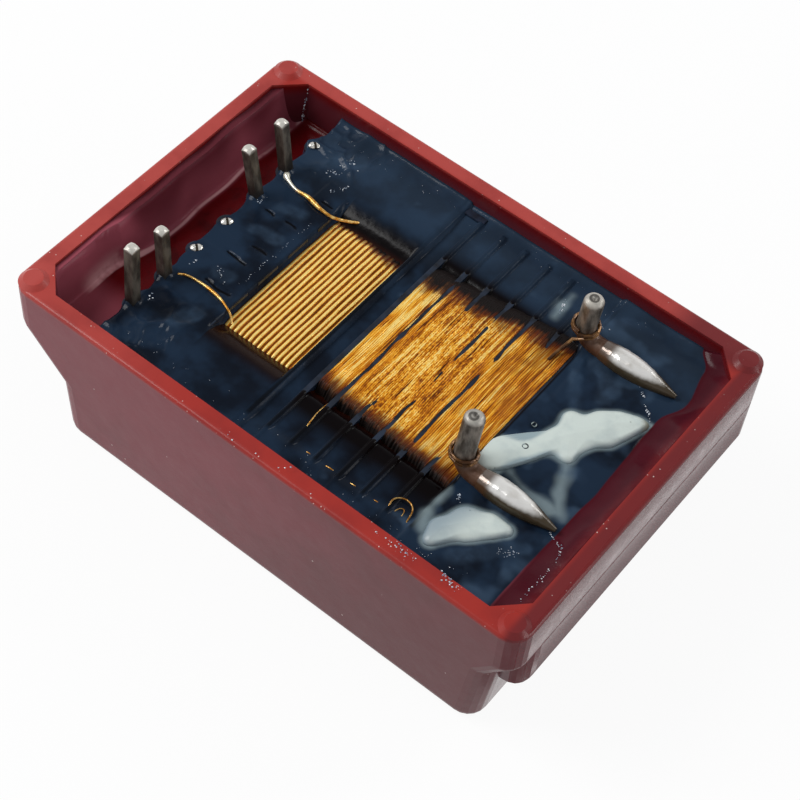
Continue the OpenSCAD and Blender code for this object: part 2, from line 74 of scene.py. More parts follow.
# numpy helpers
def ease(low, high, value):  # 0 below low, 1 above high, with an S curve between
    t = np.clip((value - low) / (high - low), 0, 1)
    return t * t * (3 - 2 * t)


def hill(value, centre, width):  # bell curve: e to the minus square of the distance in widths
    return np.exp(-(((value - centre) / width) ** 2))


def hills(x, y, size, seed):
    # smooth random ground: random heights on a square lattice of the given size, blended
    # between the four nearest corners with S-curve weights; result is -1 to 1
    table = np.random.default_rng(seed).random((97, 89)) * 2 - 1
    u, v = np.broadcast_arrays(np.asarray(x) / size + 500.3, np.asarray(y) / size + 500.7)
    i, j = np.floor(u).astype(int), np.floor(v).astype(int)
    a, b = u - i, v - j
    a, b = a * a * (3 - 2 * a), b * b * (3 - 2 * b)
    pick = lambda di, dj: table[(i + di) % 97, (j + dj) % 89]
    return (pick(0, 0) * (1 - a) + pick(1, 0) * a) * (1 - b) + (pick(0, 1) * (1 - a) + pick(1, 1) * a) * b


def layered(lower, upper, share):  # the lower level where share is 0, the upper where it is 1
    return lower * (1 - share) + upper * share


def blend(a, b, k=0.35):  # the smaller of two distances, with a fillet where they cross
    return np.minimum(a, b) - np.maximum(k - abs(a - b), 0) ** 2 / (4 * k)


def strokeGap(x, y, chain):
    # distance to the nearest of a chain of round-ended strokes, less the stroke's half width
    gap = np.full(np.broadcast(x, y).shape, 99.0)
    for (ax, ay, ar), (bx, by, br) in zip(chain, chain[1:]):
        t = np.clip(((x - ax) * (bx - ax) + (y - ay) * (by - ay)) / ((bx - ax) ** 2 + (by - ay) ** 2), 0, 1)
        gap = blend(gap, np.hypot(x - ax - t * (bx - ax), y - ay - t * (by - ay)) - ar - (br - ar) * t)
    return gap


def dropGap(x, y, chains):  # the same for several chains that run into one drop
    gap = strokeGap(x, y, chains[0])
    for chain in chains[1:]:
        gap = blend(gap, strokeGap(x, y, chain), 0.8)
    return gap


def makePiece(name, points, faces, replaced=(), values=None):
    mesh = bpy.data.meshes.new(name)
    mesh.from_pydata((np.asarray(points).reshape(-1, 3) * mm).tolist(), [], faces)
    mesh.polygons.foreach_set("use_smooth", [True] * len(mesh.polygons))
    for key, data in (values or {}).items():
        layer = mesh.attributes.new(key, "FLOAT", "POINT")
        layer.data.foreach_set("value", np.asarray(data, dtype=np.float32).ravel())
    mesh.update()
    piece = bpy.data.objects.new(name, mesh)
    bpy.context.scene.collection.objects.link(piece)
    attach(piece, "root")
    if replaced:
        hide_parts(*replaced)
    return piece


def gridFaces(rows, cols, closeRows=False, closeCols=False, flip=False):
    # one quad for each cell of a grid whose places are numbered row by row
    i = np.arange(rows if closeRows else rows - 1)[:, None]
    j = np.arange(cols if closeCols else cols - 1)[None, :]
    i2, j2 = (i + 1) % rows, (j + 1) % cols
    quad = [i * cols + j, i2 * cols + j, i2 * cols + j2, i * cols + j2]
    quad = quad[::-1] if flip else quad
    return np.stack([q + 0 * i + 0 * j for q in quad], axis=-1).reshape(-1, 4).tolist()


def slab(name, x, y, z, bottom, replaced, values):
    # a sheet z(x, y) on a grid, with upright skirts down to a flat bottom: the grid gets one
    # more ring at the same x and y as its border, lowered to the bottom, and one face closes it
    xs, ys = np.pad(x, 1, mode="edge"), np.pad(y, 1, mode="edge")
    height = np.pad(z, 1, constant_values=bottom)
    rows, cols = height.shape
    points = np.stack([xs[:, None] + 0 * height, ys[None, :] + 0 * height, height], axis=-1)
    number = np.arange(rows * cols).reshape(rows, cols)
    rim = [*number[0, :], *number[1:, -1], *number[-1, -2::-1], *number[-2:0:-1, 0]]
    faces = gridFaces(rows, cols) + [[int(k) for k in rim]]
    padded = {k: np.pad(v, 1, mode="edge") for k, v in values.items()}
    return makePiece(name, points, faces, replaced, padded)


def tube(name, path, radius, sides=14, replaced=()):
    # a round wire: rings of the given radius stand square to the path, each set against one fixed
    # slanted direction, and both ends are closed
    path = np.asarray(path, float)
    radius = np.broadcast_to(radius, len(path))
    along = np.gradient(path, axis=0)
    along /= np.linalg.norm(along, axis=1)[:, None]
    side = np.cross(along, [0.13, 0.21, 0.97])
    side /= np.linalg.norm(side, axis=1)[:, None]
    up = np.cross(side, along)
    t = np.linspace(0, 2 * math.pi, sides, endpoint=False)
    ring = side[:, None] * np.cos(t)[None, :, None] + up[:, None] * np.sin(t)[None, :, None]
    points = path[:, None] + ring * radius[:, None, None]
    n = len(path)
    faces = gridFaces(n, sides, closeCols=True, flip=True)
    faces += [list(range(sides)), list(range(n * sides - 1, (n - 1) * sides - 1, -1))]
    return makePiece(name, points, faces, replaced)


def curve(points, steps=12):
    # a smooth line through every given point: the Catmull-Rom blend of four neighbours
    p = np.asarray(points, float)
    p = np.vstack([2 * p[0] - p[1], p, 2 * p[-1] - p[-2]])
    t = np.linspace(0, 1, steps, endpoint=False)[:, None]
    parts = [
        0.5 * (2 * b + (c - a) * t + (2 * a - 5 * b + 4 * c - d) * t**2 + (3 * b - a - 3 * c + d) * t**3)
        for a, b, c, d in zip(p, p[1:], p[2:], p[3:])
    ]
    return np.vstack([*parts, p[-2:-1]])


# shader helpers
class Tone:
    # one socket of a finish, so that shader maths reads as plain sums
    def __init__(self, finish, socket):
        self.finish, self.socket = finish, socket

    def maths(self, operation, first, second=0.0):
        return self.finish.node("ShaderNodeMath", {"operation": operation}, {0: first, 1: second})

    def __add__(self, other):
        return self.maths("ADD", self, other)

    def __sub__(self, other):
        return self.maths("SUBTRACT", self, other)

    def __rsub__(self, other):
        return self.maths("SUBTRACT", other, self)

    def __mul__(self, other):
        return self.maths("MULTIPLY", self, other)

    def __truediv__(self, other):
        return self.maths("DIVIDE", self, other)

    def __rtruediv__(self, other):
        return self.maths("DIVIDE", other, self)

    def __pow__(self, other):
        return self.maths("POWER", self, other)

    def __abs__(self):
        return self.maths("ABSOLUTE", self)

    __radd__, __rmul__ = __add__, __mul__

    def over(self, other):
        return self.maths("MAXIMUM", self, other)

    def ease(self, low, high):  # 0 at low, 1 at high, S curve between
        return self.finish.node(
            "ShaderNodeMapRange", {"interpolation_type": "SMOOTHSTEP"},
            {"Value": self, "From Min": low, "From Max": high},
        )


class Finish:
    # a material under construction: one Principled shader and what feeds it
    def __init__(self, name, **fixed):
        self.material = bpy.data.materials.new(name)
        self.material.use_nodes = True
        self.tree = self.material.node_tree
        self.tree.nodes.clear()
        self.result = self.tree.nodes.new("ShaderNodeOutputMaterial")
        self.shader = self.tree.nodes.new("ShaderNodeBsdfPrincipled")
        self.tree.links.new(self.shader.outputs[0], self.result.inputs[0])
        place = self.node("ShaderNodeTexCoord", {}, {}, "Object")
        self.place = self.node("ShaderNodeVectorMath", {"operation": "SCALE"}, {0: place, "Scale": 1 / mm})
        self.x, self.y, self.z = (self.node("ShaderNodeSeparateXYZ", {}, {0: self.place}, k) for k in "XYZ")
        self.set(**fixed)

    def node(self, kind, settings=None, sockets=None, out=0):
        made = self.tree.nodes.new(kind)
        for key, value in (settings or {}).items():
            if key == "stops":
                ramp = made.color_ramp
                while len(ramp.elements) < len(value):
                    ramp.elements.new(0.5)
                for element, (at, colour) in zip(ramp.elements, value):
                    element.position, element.color = at, (*colour, 1)
            else:
                setattr(made, key, value)
        for key, value in (sockets or {}).items():
            self.put(value, made.inputs[key])
        return Tone(self, made.outputs[out])

    def put(self, value, socket):
        if isinstance(value, Tone):
            self.tree.links.new(value.socket, socket)
        elif isinstance(value, tuple) and len(value) == 3 and len(socket.default_value) == 4:
            socket.default_value = (*value, 1)
        else:
            socket.default_value = value

    def set(self, **values):  # keys are socket names with their blanks left out
        for key, value in values.items():
            name = next(s.name for s in self.shader.inputs if s.name.replace(" ", "") == key)
            self.put(value, self.shader.inputs[name])
        return self

    def mix(self, factor, first, second):
        return self.node("ShaderNodeMix", {"data_type": "RGBA"}, {0: factor, 6: first, 7: second}, 2)

    def ramp(self, factor, *stops):
        return self.node("ShaderNodeValToRGB", {"stops": stops}, {0: factor})

    def stretched(self, x=1.0, y=1.0, z=1.0):  # the place with its axes scaled, in 1/mm
        return self.node("ShaderNodeVectorMath", {"operation": "MULTIPLY"}, {0: self.place, 1: (x, y, z)})

    def noise(self, scale, detail=3.0, roughness=0.55, place=None):
        return self.node(
            "ShaderNodeTexNoise", {},
            {"Vector": place or self.place, "Scale": scale, "Detail": detail, "Roughness": roughness},
        )

    def cells(self, scale, out="Distance"):
        return self.node("ShaderNodeTexVoronoi", {}, {"Vector": self.place, "Scale": scale}, out)

    def bump(self, height, distance, strength):
        return self.set(Normal=self.node(
            "ShaderNodeBump", {}, {"Height": height, "Distance": distance * mm, "Strength": strength}
        ))

    def value(self, name):  # an attribute of the piece
        return self.node("ShaderNodeAttribute", {"attribute_name": name}, {}, "Fac")


def srgb(r, g, b):  # 0-255 as a screen shows it, to the linear value that a shader takes
    return tuple(((v / 255 + 0.055) / 1.055) ** 2.4 if v > 10 else v / 255 / 12.92 for v in (r, g, b))


# camera, floor and light
view = {
    "azimuth": 33.668, "elevation": 54.599, "roll": 6.012, "place": (36.161, -52.581, 93.231), "lens": 88.078,
}


def makeCamera(v):
    a, e, r = (math.radians(v[k]) for k in ("azimuth", "elevation", "roll"))
    back = Vector((math.sin(a) * math.cos(e), -math.cos(a) * math.cos(e), math.sin(e)))
    level = Vector((math.cos(a), math.sin(a), 0))
    above = back.cross(level)
    right = level * math.cos(r) + above * math.sin(r)
    up = back.cross(right)
    data = bpy.data.cameras.new("camera")
    data.lens, data.sensor_width = v["lens"], 36
    data.clip_start, data.clip_end = 0.01, 5
    camera = bpy.data.objects.new("camera", data)
    camera.matrix_world = Matrix.Translation(Vector(v["place"]) * mm) @ Matrix(
        [(right[i], up[i], back[i]) for i in range(3)]
    ).to_4x4()
    bpy.context.scene.collection.objects.link(camera)
    bpy.context.scene.camera = camera


makeCamera(view)

studio = {
    "floorColour": (0.62, 0.62, 0.62), "floorLift": 0.9, "horizon": 0.62, "zenith": 0.3,
    "strip": (18.68, 19.13), "stripGlow": 5.5, "stripShade": 0.62,
}
lamps = {  # place in mm, side in mm, watts
    "key": ((-190, -90, 230), 150, 0.62),
    "side": ((250, 60, 70), 120, 0.13),
    "back": ((120, 230, 200), 110, 0.22),
}


def makeStudio(s, lamps):
    bpy.ops.mesh.primitive_plane_add(size=6, location=(0, 0, -0.00002))
    floor = bpy.context.object
    floor.name = "floor"
    f = Finish("floorPaint", BaseColor=s["floorColour"], Roughness=0.9)
    path = [
        f.node("ShaderNodeLightPath", {}, {}, k)
        for k in ("Is Camera Ray", "Is Glossy Ray", "Is Transmission Ray")
    ]
    seen = path[0].over(path[1]).over(path[2])
    # beside the output end a strip of floor glows for reflections alone, with darker floor on both sides
    near, far = s["strip"]
    strip = f.x.ease(near, near + 0.3) * (1 - f.x.ease(far - 0.5, far)) * path[1]
    shade = f.x.ease(16.4, 17.2) * (1 - f.x.ease(26.0, 34.0)) * path[1] * (1 - strip) * s["stripShade"]
    strength = strip * s["stripGlow"] + 1.03 - shade
    glow = f.node("ShaderNodeEmission", {}, {"Color": (1.0, 1.0, 1.0), "Strength": strength})
    lifted = f.node(
        "ShaderNodeMixShader", {}, {0: seen * s["floorLift"], 1: Tone(f, f.shader.outputs[0]), 2: glow}
    )
    f.tree.links.new(lifted.socket, f.result.inputs[0])
    floor.data.materials.append(f.material)
    world = bpy.data.worlds.new("studio")
    bpy.context.scene.world = world
    world.use_nodes = True
    tree = world.node_tree
    coord = tree.nodes.new("ShaderNodeTexCoord")
    split = tree.nodes.new("ShaderNodeSeparateXYZ")
    ramp = tree.nodes.new("ShaderNodeValToRGB")
    for element, level in zip(ramp.color_ramp.elements, (s["horizon"], s["zenith"])):
        element.color = (level * 0.98, level, level * 1.04, 1)
    ramp.color_ramp.elements[0].position, ramp.color_ramp.elements[1].position = 0.1, 0.85
    tree.links.new(coord.outputs["Generated"], split.inputs[0])
    tree.links.new(split.outputs["Z"], ramp.inputs[0])
    tree.links.new(ramp.outputs[0], tree.nodes["Background"].inputs[0])
    for name, (place, side, watts) in lamps.items():
        data = bpy.data.lights.new(name, "AREA")
        data.size, data.energy = side * mm, watts
        lamp = bpy.data.objects.new(name, data)
        lamp.location = Vector(place) * mm
        lamp.rotation_mode = "QUATERNION"
        lamp.rotation_quaternion = (Vector((0, 0, 5)) * mm - lamp.location).to_track_quat("-Z", "Y")
        bpy.context.scene.collection.objects.link(lamp)


makeStudio(studio, lamps)
bpy.context.scene.view_settings.view_transform = "Standard"
print("camera, floor and light")


# the case: glossy red moulding, darker inside where the resin has wetted it
caseLook = {
    # below: lower is the outside's tone under painted shade
    "outside": srgb(122, 34, 48), "lower": srgb(90, 16, 26), "rim": srgb(160, 46, 38),
    # below: the rim's tone under a painted sheen, then under painted shade
    "paleRim": srgb(178, 76, 70), "darkRim": srgb(98, 32, 36), "cloud": srgb(122, 34, 34),
    "wet": srgb(92, 34, 42), "deep": srgb(104, 14, 14), "dust": srgb(232, 214, 206),
}


def caseFinish(c):
    f = Finish("redMoulding", IOR=1.34, CoatWeight=0.06, CoatRoughness=0.08)
    inside = (abs(f.x) - (caseHigh[0] - 0.72)).over(abs(f.y) - (caseHigh[1] - 0.72))
    wet = (1 - inside.ease(-0.22, 0.05)) * (1 - f.z.ease(10.3, 10.62))
    rim = f.z.ease(10.2, 10.55)
    cloud = f.noise(0.35, 4.0)
    # painted shade: the outside darkens towards the output end and towards the bottom, where less light falls
    away = f.x.ease(-8, 14) * 0.75 + (1 - f.z.ease(2.0, 9.0)) * 0.25
    base = f.mix((cloud.ease(0.35, 0.75) * 0.2 + away).ease(0, 1), c["outside"], c["lower"])
    # painted sheen: the rim is paler at the pin end, along the far side and at the near corner by the pin end
    rimTone = f.mix(f.x.ease(-15.4, -15.9).over(f.y.ease(10.2, 10.6)) * 0.75, c["rim"], c["paleRim"])
    rimTone = f.mix(f.x.ease(-4, -12) * f.y.ease(-9, -10) * 0.5, rimTone, c["paleRim"])
    # painted shade: the rim is darker at the output end and at the far corner beside it
    outputEndShade = f.x.ease(15.8, 16.3).over(f.x.ease(10, 13) * f.y.ease(9, 10))
    rimTone = f.mix(outputEndShade * 0.85, rimTone, c["darkRim"])
    base = f.mix(rim, base, f.mix(cloud.ease(0.4, 0.7) * 0.4, rimTone, c["cloud"]))
    inner = f.mix(f.z.ease(9.55, 10.45), c["wet"], c["deep"])
    base = f.mix(wet, base, inner)
    # pale dust: rare specks all over, and denser specks along the rim that are partly dust and partly painted
    # glints
    chosen = f.node("ShaderNodeSeparateColor", {}, {0: f.cells(0.9, out="Color")})
    dust = (1 - f.cells(0.9).ease(0.02, 0.06)) * chosen.ease(0.66, 0.7)
    rimDustAndGlints = (1 - f.cells(3.0).ease(0.05, 0.16)) * f.noise(0.55, 3.0).ease(0.5, 0.62) * f.z.ease(10.2, 10.5)
    base = f.mix((dust + rimDustAndGlints).ease(0, 1) * 0.75, base, c["dust"])
    endFace = f.x.ease(16.6, 16.9)
    rough = 0.3 + f.noise(1.1, 5.0) * 0.14 - wet * 0.16
    f.set(BaseColor=base, Roughness=rough - endFace * 0.22)
    height = f.noise(0.8, 3.0) * 0.6 + f.noise(14.0, 3.0) * 0.12 + (dust + rimDustAndGlints) * 0.8
    f.bump(height * (1 - endFace * 0.8), 0.06, 0.45)
    return f.material


# the resin: one poured surface over the well, the bobbin and the shelf
resin = {
    "film": 0.1, "wellLevel": 7.4, "rightLevel": 9.3, "chamberDrop": 0.12, "wallClimb": 2.95,
    "edge": 14.3, "post": 0.32, "foldTop": 0.24, "bottom": 6.6,
    # pale is the skin's tone under a painted reflection
    "navy": srgb(28, 43, 61), "black": srgb(14, 21, 32), "pale": srgb(62, 82, 104),
    "milk": srgb(150, 168, 172), "crest": srgb(7, 9, 13), "crack": srgb(5, 6, 10),
    # shade is the well's tone under a painted mauve sheen
    "well": srgb(96, 12, 17), "wellCloud": srgb(58, 8, 12), "shade": srgb(146, 72, 84),
    # shore is a painted highlight along the well's shoreline
    "shore": srgb(214, 162, 164), "wallTop": srgb(68, 20, 28), "maroon": srgb(72, 20, 30),
    "endRim": srgb(100, 30, 36), "endCloud": srgb(60, 14, 24), "besideTurns": srgb(8, 4, 5),
    "brown": srgb(60, 22, 8), "amberBrown": srgb(52, 26, 8),
}
beads = {  # chains of strokes: x, y, half width
    "adhesive_bead_1": [
        [(9.1, -3.3, 0.7), (9.0, -2.2, 0.95), (10.1, -1.2, 0.5), (10.9, 0.4, 0.72), (11.6, 1.5, 0.98),
         (12.4, 2.6, 1.1), (13.0, 3.4, 0.85), (13.6, 4.0, 0.42), (14.15, 4.35, 0.14)],
        [(11.3, 1.3, 0.6), (10.6, 2.0, 0.42)],
        [(11.5, 0.6, 0.6), (11.95, -0.15, 0.4)],
    ],
    "adhesive_bead_2": [
        [(12.2, -5.75, 0.4), (11.4, -6.1, 0.75), (10.5, -6.75, 1.0), (9.7, -7.9, 0.7), (9.6, -8.7, 0.45)],
    ],
}
coilNear, coilFar = -4.85, 5.3  # ends of the bright part of the coils, in y
primaryBright = 4.6  # half the bright length of the primary, in y
cracks = [  # x from, x to, y
    (-10.6, -8.8, -1.4), (-9.8, -8.4, -0.1), (-11.0, -9.9, 2.3),
    (-9.6, -8.4, 2.4), (-10.2, -8.0, -3.66), (-9.0, -7.8, 4.9),
]
veils = [  # thin milky films, as chains of strokes
    [(12.0, -0.1, 0.45), (12.5, -1.2, 0.26), (12.95, -2.3, 0.24), (13.6, -3.2, 0.4)],
    [(11.5, -3.5, 0.4), (12.7, -3.4, 0.55), (13.5, -3.2, 0.4)],
    [(10.1, -2.7, 0.1), (11.3, -3.1, 0.18), (12.4, -3.1, 0.3)],
    [(8.45, -5.6, 0.12), (8.45, -7.4, 0.28), (8.9, -8.5, 0.35)],
    # the last film is a painted highlight: a pale streak of glints on the far side
    [(5.9, 7.1, 0.2), (5.85, 8.0, 0.28), (5.85, 8.9, 0.12)],
]
patches = [  # paler patches of the skin, a painted reflection, as chains of strokes
    [(9.0, 9.3, 0.4), (10.0, 9.6, 0.35), (11.2, 9.7, 0.2)],
    [(8.6, 7.6, 0.2), (8.65, 8.7, 0.28)],
    [(8.34, 5.73, 0.42), (9.36, 4.2, 0.42), (10.37, 2.7, 0.42)],
    [(9.95, 5.7, 0.5), (11.1, 5.1, 0.6), (11.2, 4.0, 0.5)],
    [(11.1, -8.7, 0.5), (12.35, -6.9, 0.6), (13.6, -6.0, 0.4)],
    [(-10.2, 0.9, 0.5), (-8.9, 1.0, 0.45)], [(-9.7, -2.8, 0.5), (-9.1, -2.6, 0.5)],
    [(-10.3, 3.1, 0.4), (-9.0, 3.3, 0.45)], [(-9.3, -7.0, 0.5), (-8.7, -5.6, 0.6)],
    [(11.6, 8.0, 0.6), (12.4, 8.6, 0.3)], [(-10.4, 7.2, 0.5), (-9.0, 8.6, 0.6)],
]


def shoreLine(y):  # where the resin starts to climb the wall at the pin end, in x
    return resinLow[0] + 0.75 - 0.7 * ease(-2.2, -5.8, y) + 0.14 * hills(y, 0 * y, 2.0, 6)


def resinHeight(x, y):
    # the sum of levels that switch over at the bobbin's own edges, with menisci at the walls
    r = resin
    bosses = sum(hill(y, p, 0.6) for p in pinPlaces)
    blockEdge = bobbinLow[0] + 0.35 - 0.3 * bosses + 0.12 * hills(x, y, 0.7, 3)
    onBlock = ease(-0.45, 0.15, x - blockEdge)
    atSides = np.exp(-np.maximum(caseHigh[1] - 1 - abs(y), 0) / 0.22)
    shore = shoreLine(y)
    climb = np.clip((shore - x) / np.maximum(shore - resinLow[0], 0.3), 0, 1)
    well = r["wellLevel"] + 0.1 * hills(x, y, 2.2, 5) + r["wallClimb"] * climb**3 + 0.3 * atSides
    top = topZ + r["film"]
    least = topZ + 0.015  # the skin never lies lower than this over the pin block and the shelf
    # pin block: low tiles, a few cracks along x, and slumped folds at both corners
    crack = sum(hill(y + 0.1 * hills(x, y, 0.8, 8), c, 0.09) * ease(a, a + 0.3, x) * ease(b, b - 0.3, x)
                for a, b, c in cracks)
    tile = 0.05 * hills(np.floor((x + 9.35) / 9), np.floor((y - 0.9) / 1.27), 0.9, 12) * ease(-7.9, -8.4, x)
    creases = ((1 - abs(hills(x * 0.8 + y * 0.6, y * 0.8 - x * 0.6, 1.5, 21))) ** 4
               + 0.5 * (1 - abs(hills(x, y, 0.8, 22))) ** 4)
    farFold = ease(5.6, 7.2, y) * ease(-7.6, -8.9, x)
    nearFold = ease(-4.9, -6.6, y) * ease(-7.8, -8.8, x)
    fold = np.maximum(farFold, nearFold * 0.7)
    block = np.maximum(top + tile * (1 - fold) - crack * 0.12 + fold * r["foldTop"] * (creases - 0.3), least)
    # windings and chambers
    spread = abs(y - (coilNear + coilFar) / 2) - (coilFar - coilNear) / 2
    underCoil = 1 - ease(-0.35, 1.1, spread)
    drowned = ease(-8.3, -9.1, y)  # the near ends of the flanges lie under resin
    chamber = topZ - r["chamberDrop"] * (1 - drowned) + 0.03 * hills(x, y, 1.1, 31) + 0.03 * drowned
    away = np.min([abs(x - m) for m in [divider, *flanges]], axis=0)
    crest = 0.17  # half the width of a flange's round top
    crown = topZ + 0.012 + 0.05 * (1 - (away / crest) ** 2)
    chamber = chamber + np.maximum(crown - chamber, 0) * ease(0.21, 0.15, away) * ease(9.9, 9.6, y)
    chamber = chamber - underCoil * 0.75
    primarySpread = abs(y) - primaryBright
    fill = ease(-0.1, 1.7, primarySpread)
    primary = layered(primaryHigh[2] - 0.32, top + 0.02 * hills(x, y, 1.2, 33), fill)
    spacer = topZ - 0.3 + ease(8.2, 9.4, abs(y)) * 0.15 + 0.04 * hills(x, y, 1.0, 32)
    z = layered(well, block, onBlock)
    toPrimary = ease(-0.12, 0.04, x - primaryLow[0]) * (1 - fill)
    z = layered(z, primary, toPrimary)
    z = layered(z, primary, fill * ease(-0.3, 0, x - primaryLow[0]))
    toSpacer = ease(divider - 0.2, divider - 0.12, x)
    z = layered(z, np.maximum(spacer, crown * (away < crest)), toSpacer)
    toCoils = ease(flanges[0] - 0.2, flanges[0] - 0.12, x)
    z = layered(z, chamber, toCoils)
    # shelf, with slow lumps and a few soft facets, and the climb to the rim beyond its end
    facets = abs(hills(x * 0.9 + y * 0.4, y * 0.9 - x * 0.4, 1.8, 41))
    channel = hill(x + 0.06 * (y - 6), 8.75, 0.16) * ease(2.2, 2.8, y) * ease(6.3, 5.7, y)
    shelf = np.maximum(top + 0.06 * hills(x, y, 2.3, 42) + 0.08 * facets - 0.06 * channel - 0.02, least)
    toShelf = ease(-0.15, 0.2, x - shelfX)
    z = layered(z, shelf, toShelf)
    edge = r["edge"] + 0.14 * hills(x, y, 1.5, 43) - 0.9 * ease(9.0, 10.4, y) ** 2 + 0.45 * hill(y, 7.2, 1.4)
    rise = np.clip((x - edge) / (resinHigh[0] - r["edge"]), 0, 1)
    right = r["rightLevel"] + 0.05 * hills(x, y, 1.5, 44) + 1.0 * rise**1.5
    toRight = ease(-0.12, 0.12, x - edge)
    z = layered(z, right, toRight)
    # resin creeps up every pin and terminal
    posts = [(pinRow, pinPlaces[k]) for k in (0, 1, 4, 5)]  # the places that still carry a pin
    creep = sum(np.exp(-np.maximum(np.hypot(x - px, y - py) - r["post"], 0) / 0.13) for px, py in posts)
    creep = creep + sum(np.exp(-np.maximum(np.hypot(x - px, y - py) - 0.6, 0) / 0.2) for px, py in terminals)
    return (
        z + atSides * 0.22 * onBlock + 0.2 * creep * onBlock,
        onBlock, toRight, spread, primarySpread, crack, away,
    )


def resinFinish(r):
    # dark blue over the moulding, red over the well and the output end, brown beside the windings
    f = Finish("pottedResin", IOR=1.2)
    tint = f.noise(0.4, 3.0, 0.5)
    navy = f.mix(tint.ease(0.36, 0.62), r["black"], r["navy"])
    # painted reflection: the skin is paler towards the far side, in slow blotches that grow towards the
    # output end, and in the listed patches
    navy = f.mix(f.y.ease(4.0, 9.5) * 0.28, navy, r["pale"])
    sheenBlotches = f.noise(0.55, 2.0, 0.4) + (f.x - 11.0) * 0.012
    navy = f.mix(sheenBlotches.ease(0.52, 0.7) * 0.6, navy, r["pale"])
    navy = f.mix(f.value("facet") * (0.2 + f.noise(0.8, 3.0).ease(0.35, 0.7) * 0.25), navy, r["pale"])
    navy = f.mix(f.value("crest") * (0.85 - f.y.ease(4.0, 7.0) * 0.6), navy, r["crest"])
    navy = f.mix(f.value("crack").ease(0.2, 0.8), navy, r["crack"])
    navy = f.mix(f.value("milk") * (0.75 + f.noise(0.9, 3.0) * 0.4), navy, r["milk"])
    shore = f.value("shore")
    wellTone = f.mix(f.noise(0.9, 3.0).ease(0.45, 0.72) * 0.6, r["well"], r["wellCloud"])
    # painted sheen: the climb up the wall and the near corner of the well turn pale mauve, which gives way to
    # a darker tone at the top of the wall
    wellTone = f.mix(shore.ease(0.35, -0.05).over(f.y.ease(-5.6, -7.4) * 0.8), wellTone, r["shade"])
    wellTone = f.mix(shore.ease(-0.4, -0.75) * 0.8, wellTone, r["wallTop"])
    # painted highlight: a pale pink line along the shoreline where the meniscus catches the light, wider
    # towards the near side
    wide = 0.03 + f.y.ease(-1.0, -5.0) * 0.12
    streak = (
        (1 - (abs(shore - 0.03) - wide).ease(0.0, 0.12)) * f.noise(0.5, 3.0).ease(0.3, 0.5)
        * f.y.ease(-8.0, -6.5)
    )
    wellTone = f.mix(streak * 0.8, wellTone, r["shore"])
    rightTone = f.mix(f.x.ease(15.2, 16.0), r["maroon"], r["endRim"])
    rightTone = f.mix(f.noise(0.6, 3.0).ease(0.4, 0.7) * 0.5, rightTone, r["endCloud"])
    redTone = f.mix(f.value("rightEnd"), wellTone, rightTone)
    base = f.mix(f.value("red").ease(0.25, 0.75), navy, redTone)
    glow = f.value("glow")
    base = f.mix(glow.ease(0.1, 0.42), base, r["besideTurns"])
    base = f.mix(glow.ease(0.6, 1.0), base, r["brown"])
    base = f.mix(
        glow.ease(0.2, 0.5) * f.x.ease(divider, divider - 0.4) * f.y.ease(-4, -5) * 0.35,
        base, r["amberBrown"],
    )
    f.set(BaseColor=base, Roughness=0.1 + f.noise(2.0, 3.0) * 0.14)
    f.bump(f.noise(1.3, 3.0, 0.45) * 0.8 + f.noise(6.0, 2.0) * 0.06, 0.05, 0.45)
    return f.material


def makeResin(r):
    # the skin's height on a grid, with a mask for each tone of its finish
    steps = [  # from, to, step in x: finest where the skin is steepest
        (-16.0, -15.0, 0.04), (-15.0, -12.6, 0.14), (-12.6, -1.4, 0.08),
        (-1.4, 8.6, 0.05), (8.6, 14.2, 0.085), (14.2, 16.05, 0.11),
    ]
    x, y = np.concatenate([np.arange(*s) for s in steps]), np.linspace(-10.4, 10.4, 208)
    gx, gy = np.meshgrid(x, y, indexing="ij")
    z, onBlock, toRight, spread, primarySpread, crack, away = resinHeight(gx, gy)
    coilGlow = (
        np.exp(-np.maximum(spread, 0) / np.where(gy < 0, 1.8, 1.0))
        * ease(-0.3, 0.1, gx - flanges[0]) * ease(0.5, -0.3, gx - shelfX)
    )
    turnGlow = np.exp(-np.maximum(primarySpread, 0) / np.where(gy < 0, 1.5, 1.0))
    turnGlow = turnGlow * ease(0, 0.1, gx - primaryLow[0]) * ease(0.2, 0, gx - primaryHigh[0])
    ragged = 0.25 * hills(gx, gy, 0.6, 24)
    veil = np.max([ease(0.25, -0.35, strokeGap(gx, gy, chain) + 0.6 * ragged) for chain in veils], axis=0)
    facet = np.max([ease(0.12, -0.3, strokeGap(gx, gy, chain) + ragged * 0.6) for chain in patches], axis=0)
    crest = ease(0.15, 0.07, away) * ease(-9.0, -8.6, gy) * ease(9.8, 9.5, gy) * (gx < shelfX + 0.5)
    halo = np.max([ease(0.25, -0.2, dropGap(gx, gy, group)) for group in beads.values()], axis=0)
    values = {
        "red": np.maximum(1 - onBlock, toRight), "glow": np.maximum(coilGlow, turnGlow), "rightEnd": toRight,
        "shore": gx - shoreLine(gy), "milk": np.maximum(veil * 0.55, halo), "facet": facet,
        "crest": crest, "crack": crack,
    }
    piece = slab("resinSurface", x, y, z, r["bottom"], ["potting_resin"], values)
    piece.data.materials.append(resinFinish(r))


makeResin(resin)
print("resin surface")


# copper: thick turns at the pin end, fine overfilled coils in the chambers
copper = {
    # the tones run from painted shade in the valleys (shade, deep) up to painted highlights on the crests
    # (bright, pale)
    "pale": srgb(255, 226, 138), "bright": srgb(250, 190, 66), "amber": srgb(226, 142, 18),
    "deep": srgb(164, 88, 10), "shade": srgb(84, 38, 6), "brown": srgb(92, 30, 6), "burnt": srgb(16, 7, 5),
    "gap": srgb(20, 16, 22), "dull": srgb(128, 70, 22),
    "turns": 15, "flat": 4.2, "corner": 1.8, "strandPitch": 0.115,
}
